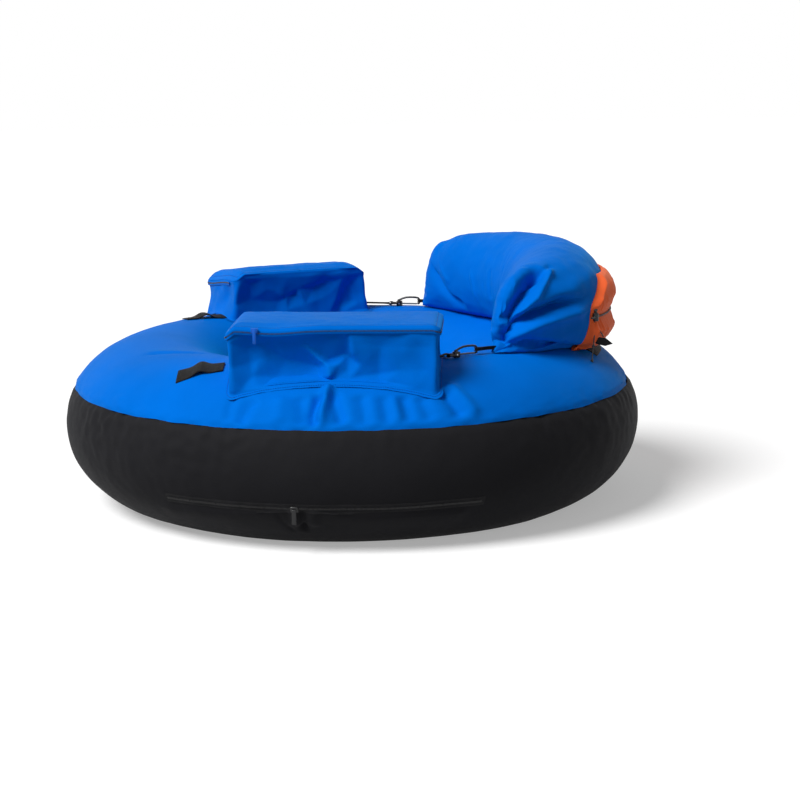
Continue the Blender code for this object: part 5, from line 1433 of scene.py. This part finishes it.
def flat_outline(width, thickness, corner=0.3):
    """A flat strap's section, with rounded selvedges."""
    half, thin = width / 2, thickness / 2
    return [(-half, -thin * corner), (-half + thin, -thin), (half - thin, -thin),
            (half, -thin * corner), (half, thin * corner), (half - thin, thin),
            (-half + thin, thin), (-half, thin * corner)]


def strap_along(name, points, size, body, side_way, node=None, spacing=0.0016):
    """Webbing along a route, kept square to one direction across it."""
    route = smooth_route(points, spacing)
    lifts = []
    for index, spot in enumerate(route):
        before = route[max(index - 1, 0)]
        after = route[min(index + 1, len(route) - 1)]
        lifts.append(side_way.cross((after - before).normalized()))
    form = bmesh.new()
    swept(form, route, flat_outline(*size), lifts)
    return show(name, form, black_webbing, body, node)


def softened(node, edge, material):
    """A moulded part as its CAD node shapes it, its facets merged and its edges rounded."""
    form = bmesh.new()
    form.from_mesh(nodes[node].data)
    bmesh.ops.remove_doubles(form, verts=form.verts, dist=1e-5)
    bmesh.ops.dissolve_limit(form, angle_limit=math.radians(1.5), verts=form.verts,
                             edges=form.edges)
    sharp = [line for line in form.edges
             if len(line.link_faces) == 2 and line.calc_face_angle() > math.radians(30.0)]
    bmesh.ops.bevel(form, geom=sharp, offset=edge, segments=2, profile=0.5, affect="EDGES",
                    material=-1, clamp_overlap=True)
    bmesh.ops.recalc_face_normals(form, faces=form.faces)
    item = show(node + "_moulded", form, material, body_of(nodes[node])[0], node)
    item.data.set_sharp_from_angle(angle=math.radians(40.0))


def brushed(name, colour):
    """Drawn steel: bright, dulled where it has been handled."""
    return finished(moulded(name, colour, roughness=0.30, wear=0.8), {"Metallic": 1.0})


bright_steel = brushed("bright_steel", (0.62, 0.62, 0.63))
grey_nylon = moulded("grey_nylon", (0.13, 0.135, 0.14), 0.36)
for side, sign in (("left", -1.0), ("right", 1.0)):
    hook = hook_place(sign)
    across = (hook.to_3x3() @ Vector((0.0, 1.0, 0.0))).normalized()
    bar = HOOK_BAR[0]
    far = bar - HOOK_STRAP_LENGTH[side]
    bend = HOOK_BAR[1] + 0.0006
    turned_back = mirrored([(far, 0.0007), (bar - 0.014, 0.0007), (bar - 0.004, bend), (bar, bend),
                            (bar + bend * 0.9, bend * 0.45), (bar + bend, 0.0)])
    turned_back = [hook @ Vector((x, 0.0, -z)) for x, z in turned_back]
    strap = strap_along(side + "_hook_webbing", turned_back, HOOK_STRAP_SIZE, None, across,
                        side + "_hook_strap")
    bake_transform(strap, "tube", "backrest", start=tuple(hook @ Vector((far, 0.0, 0.0))),
             end=tuple(hook @ Vector((bar - 0.006, 0.0, 0.0))))
    nose, half = LOOP_NOSE
    ply = mirrored([(nose + 0.078, half * 0.25), (nose + 0.016, half * 0.30),
                    (nose + 0.006, half * 0.85), (nose, half), (nose - half * 0.75, half * 0.70),
                    (nose - half, 0.0)])
    loop = bmesh.new()
    swept(loop, smooth_route([hook @ Vector((x, y, 0.0033 + LOOP_SIZE[1] / 2)) for x, y in ply],
                             0.0012), flat_outline(*LOOP_SIZE), UP)
    show(side + "_cushion_loop", loop, black_webbing, "backrest", side + "_backrest_loop")
    softened(side + "_hook_body", 0.0006, black_nylon)
    softened(side + "_hook_gate", 0.0003, grey_nylon)
    nodes[side + "_hook_gate_pin"].data.materials[0] = bright_steel

# Sliders and pulls
# Die-cast sliders, blue on the pockets and black on the cover, each with a flat pull.
for side in ("left", "right"):
    softened(side + "_pocket_slider", 0.0010, blue_nylon)
    softened(side + "_pocket_pull", 0.0006, blue_nylon)
softened("cover_zip_slider", 0.0012, black_nylon)
softened("cover_zip_pull", 0.0007, black_nylon)

# Valves
# Welded vinyl valves with a grey flange and a black push-in cap, in the hole's wall and in
# the cushion's far rear face.
for valve in ("main_valve", "backrest_valve"):
    softened(valve + "_body", 0.0004, grey_nylon)
    softened(valve + "_cap", 0.0004, black_nylon)

# Cord lock
# A two-part moulded toggle on the drawcord: a barrel with a sprung button on top.
softened("cord_lock_body", 0.0006, black_nylon)
softened("cord_lock_button", 0.0004, black_nylon)
spring_form = bmesh.new()
spring_form.from_mesh(nodes["cord_lock_spring"].data)
bmesh.ops.remove_doubles(spring_form, verts=spring_form.verts, dist=1e-5)
spring = show("lock_spring", spring_form, bright_steel, "backrest", "cord_lock_spring")
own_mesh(spring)

# Seat
# A half round of heavy black cloth across the rear of the hole, sewn to the inner seam and
# bound along its straight front edge. It sags in the middle, where the angler sits.
HOLE_RADIUS = RING_RADIUS - RING_HALF_WIDTH
SEAT_SAG = 0.046
SEAT_RIM_HEIGHT = 0.150
SEAT_SAG_ROWS = ((0.0, 1.0), (0.32, 0.90), (0.62, 0.60), (0.86, 0.22), (0.965, 0.0), (1.0, 0.0))
SEAT_RIM_STRIP = 0.024
# The share of the cloth that spans the hole, the rest of it is sewn up the wall
SEAT_SHARE = 0.86
SEAT_THICKNESS = 0.0016
SEAT_STEPS = (220, 90)
sag_keys, (sag_shares,) = eased(SEAT_SAG_ROWS, share=0.05)


def seat_height(radius):
    """Height of the seat's cloth at distances from the hole's centre."""
    return SEAT_RIM_HEIGHT - SEAT_SAG * np.interp(radius / HOLE_RADIUS, sag_keys, sag_shares)


def seat_place(around, outward):
    azimuth = (around - 0.5) * math.pi
    share = outward / SEAT_SHARE
    radius = np.maximum(HOLE_RADIUS * np.minimum(share, 1.0) - 0.0018, 0.0)
    height = seat_height(radius)
    climb = np.maximum(share - 1.0, 0.0) / (1.0 / SEAT_SHARE - 1.0)
    level = SEAT_RIM_HEIGHT + 0.004 * smooth_step(0.0, 0.3, climb) + SEAT_RIM_STRIP * climb
    height = np.where(share > 1.0, level, height)
    wall = (height - RING_CENTRE_HEIGHT) / RING_HALF_HEIGHT
    skin = RING_RADIUS - RING_HALF_WIDTH * np.sqrt(np.maximum(1.0 - wall ** 2, 0.0))
    radius = np.where(share > 1.0, skin - 0.0022, radius)
    spots = polar(radius, azimuth, height)
    pleats = rumple(polar(0.2, azimuth, 0.0), 0.020, 81.0)
    edge = smooth_step(0.45, 0.97, share) * (1.0 - smooth_step(0.97, 1.0, share))
    spots[:, 2] += 0.0035 * pleats * edge + 0.0012 * rumple(spots, 0.06, 82.0) * (share < 1.0)
    return spots


seat_form = cloth_grid(SEAT_STEPS, (0.63, 0.24), seat_place)
seat_area = sum(face.calc_area() for face in seat_form.faces)
thickened(seat_form, SEAT_THICKNESS)
heavy_cloth = pack_cloth("heavy_cloth", (0.0150, 0.0150, 0.0165), (1.0, 0.98, 1.0),
                         roughness=0.62, gloss=0.18, sheen=0.05, thread=0.0014)
seat = show("seat", seat_form, heavy_cloth, "tube", "seat_panel")
hem_points = [(0.0006, y, seat_height(abs(y)) + 0.0004) for y in np.linspace(-0.196, 0.196, 41)]
strap_along("seat_hem", hem_points, (0.0048, 0.020), "tube", UP, spacing=0.004)

# Crotch strap
# One strap of black webbing from the seat's middle to the front of the hole, in two parts
# joined by a side-release buckle. It keeps the angler on the seat.
STRAP_SIZE = (0.025, 0.0018)
STRAP_LIFT = 0.0024
REAR_STRAP_X = (0.085, 0.065, 0.045, 0.025, 0.005, -0.015, -0.035, -0.0518)
FRONT_STRAP = ((-0.1016, 0.1067), (-0.118, 0.1085), (-0.1363, 0.1142), (-0.157, 0.1222),
               (-0.1757, 0.1305), (-0.1935, 0.1420), (-0.1978, 0.1540), (-0.1983, 0.1670),
               (-0.1990, 0.1795))
ACROSS = Vector((0.0, 1.0, 0.0))
rear_points = [(x, 0.0, seat_height(max(x, 0.0)) + STRAP_LIFT) for x in REAR_STRAP_X]
strap_along("rear_crotch_webbing", rear_points, STRAP_SIZE, "tube", ACROSS, "crotch_strap_rear",
            spacing=0.004)
front_strap = strap_along("front_crotch_webbing", [(x, 0.0, z) for x, z in FRONT_STRAP],
                          STRAP_SIZE, "tube", ACROSS, "crotch_strap_front", spacing=0.004)
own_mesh(front_strap)
softened("buckle_socket", 0.0012, black_nylon)
softened("buckle_plug", 0.0010, black_nylon)
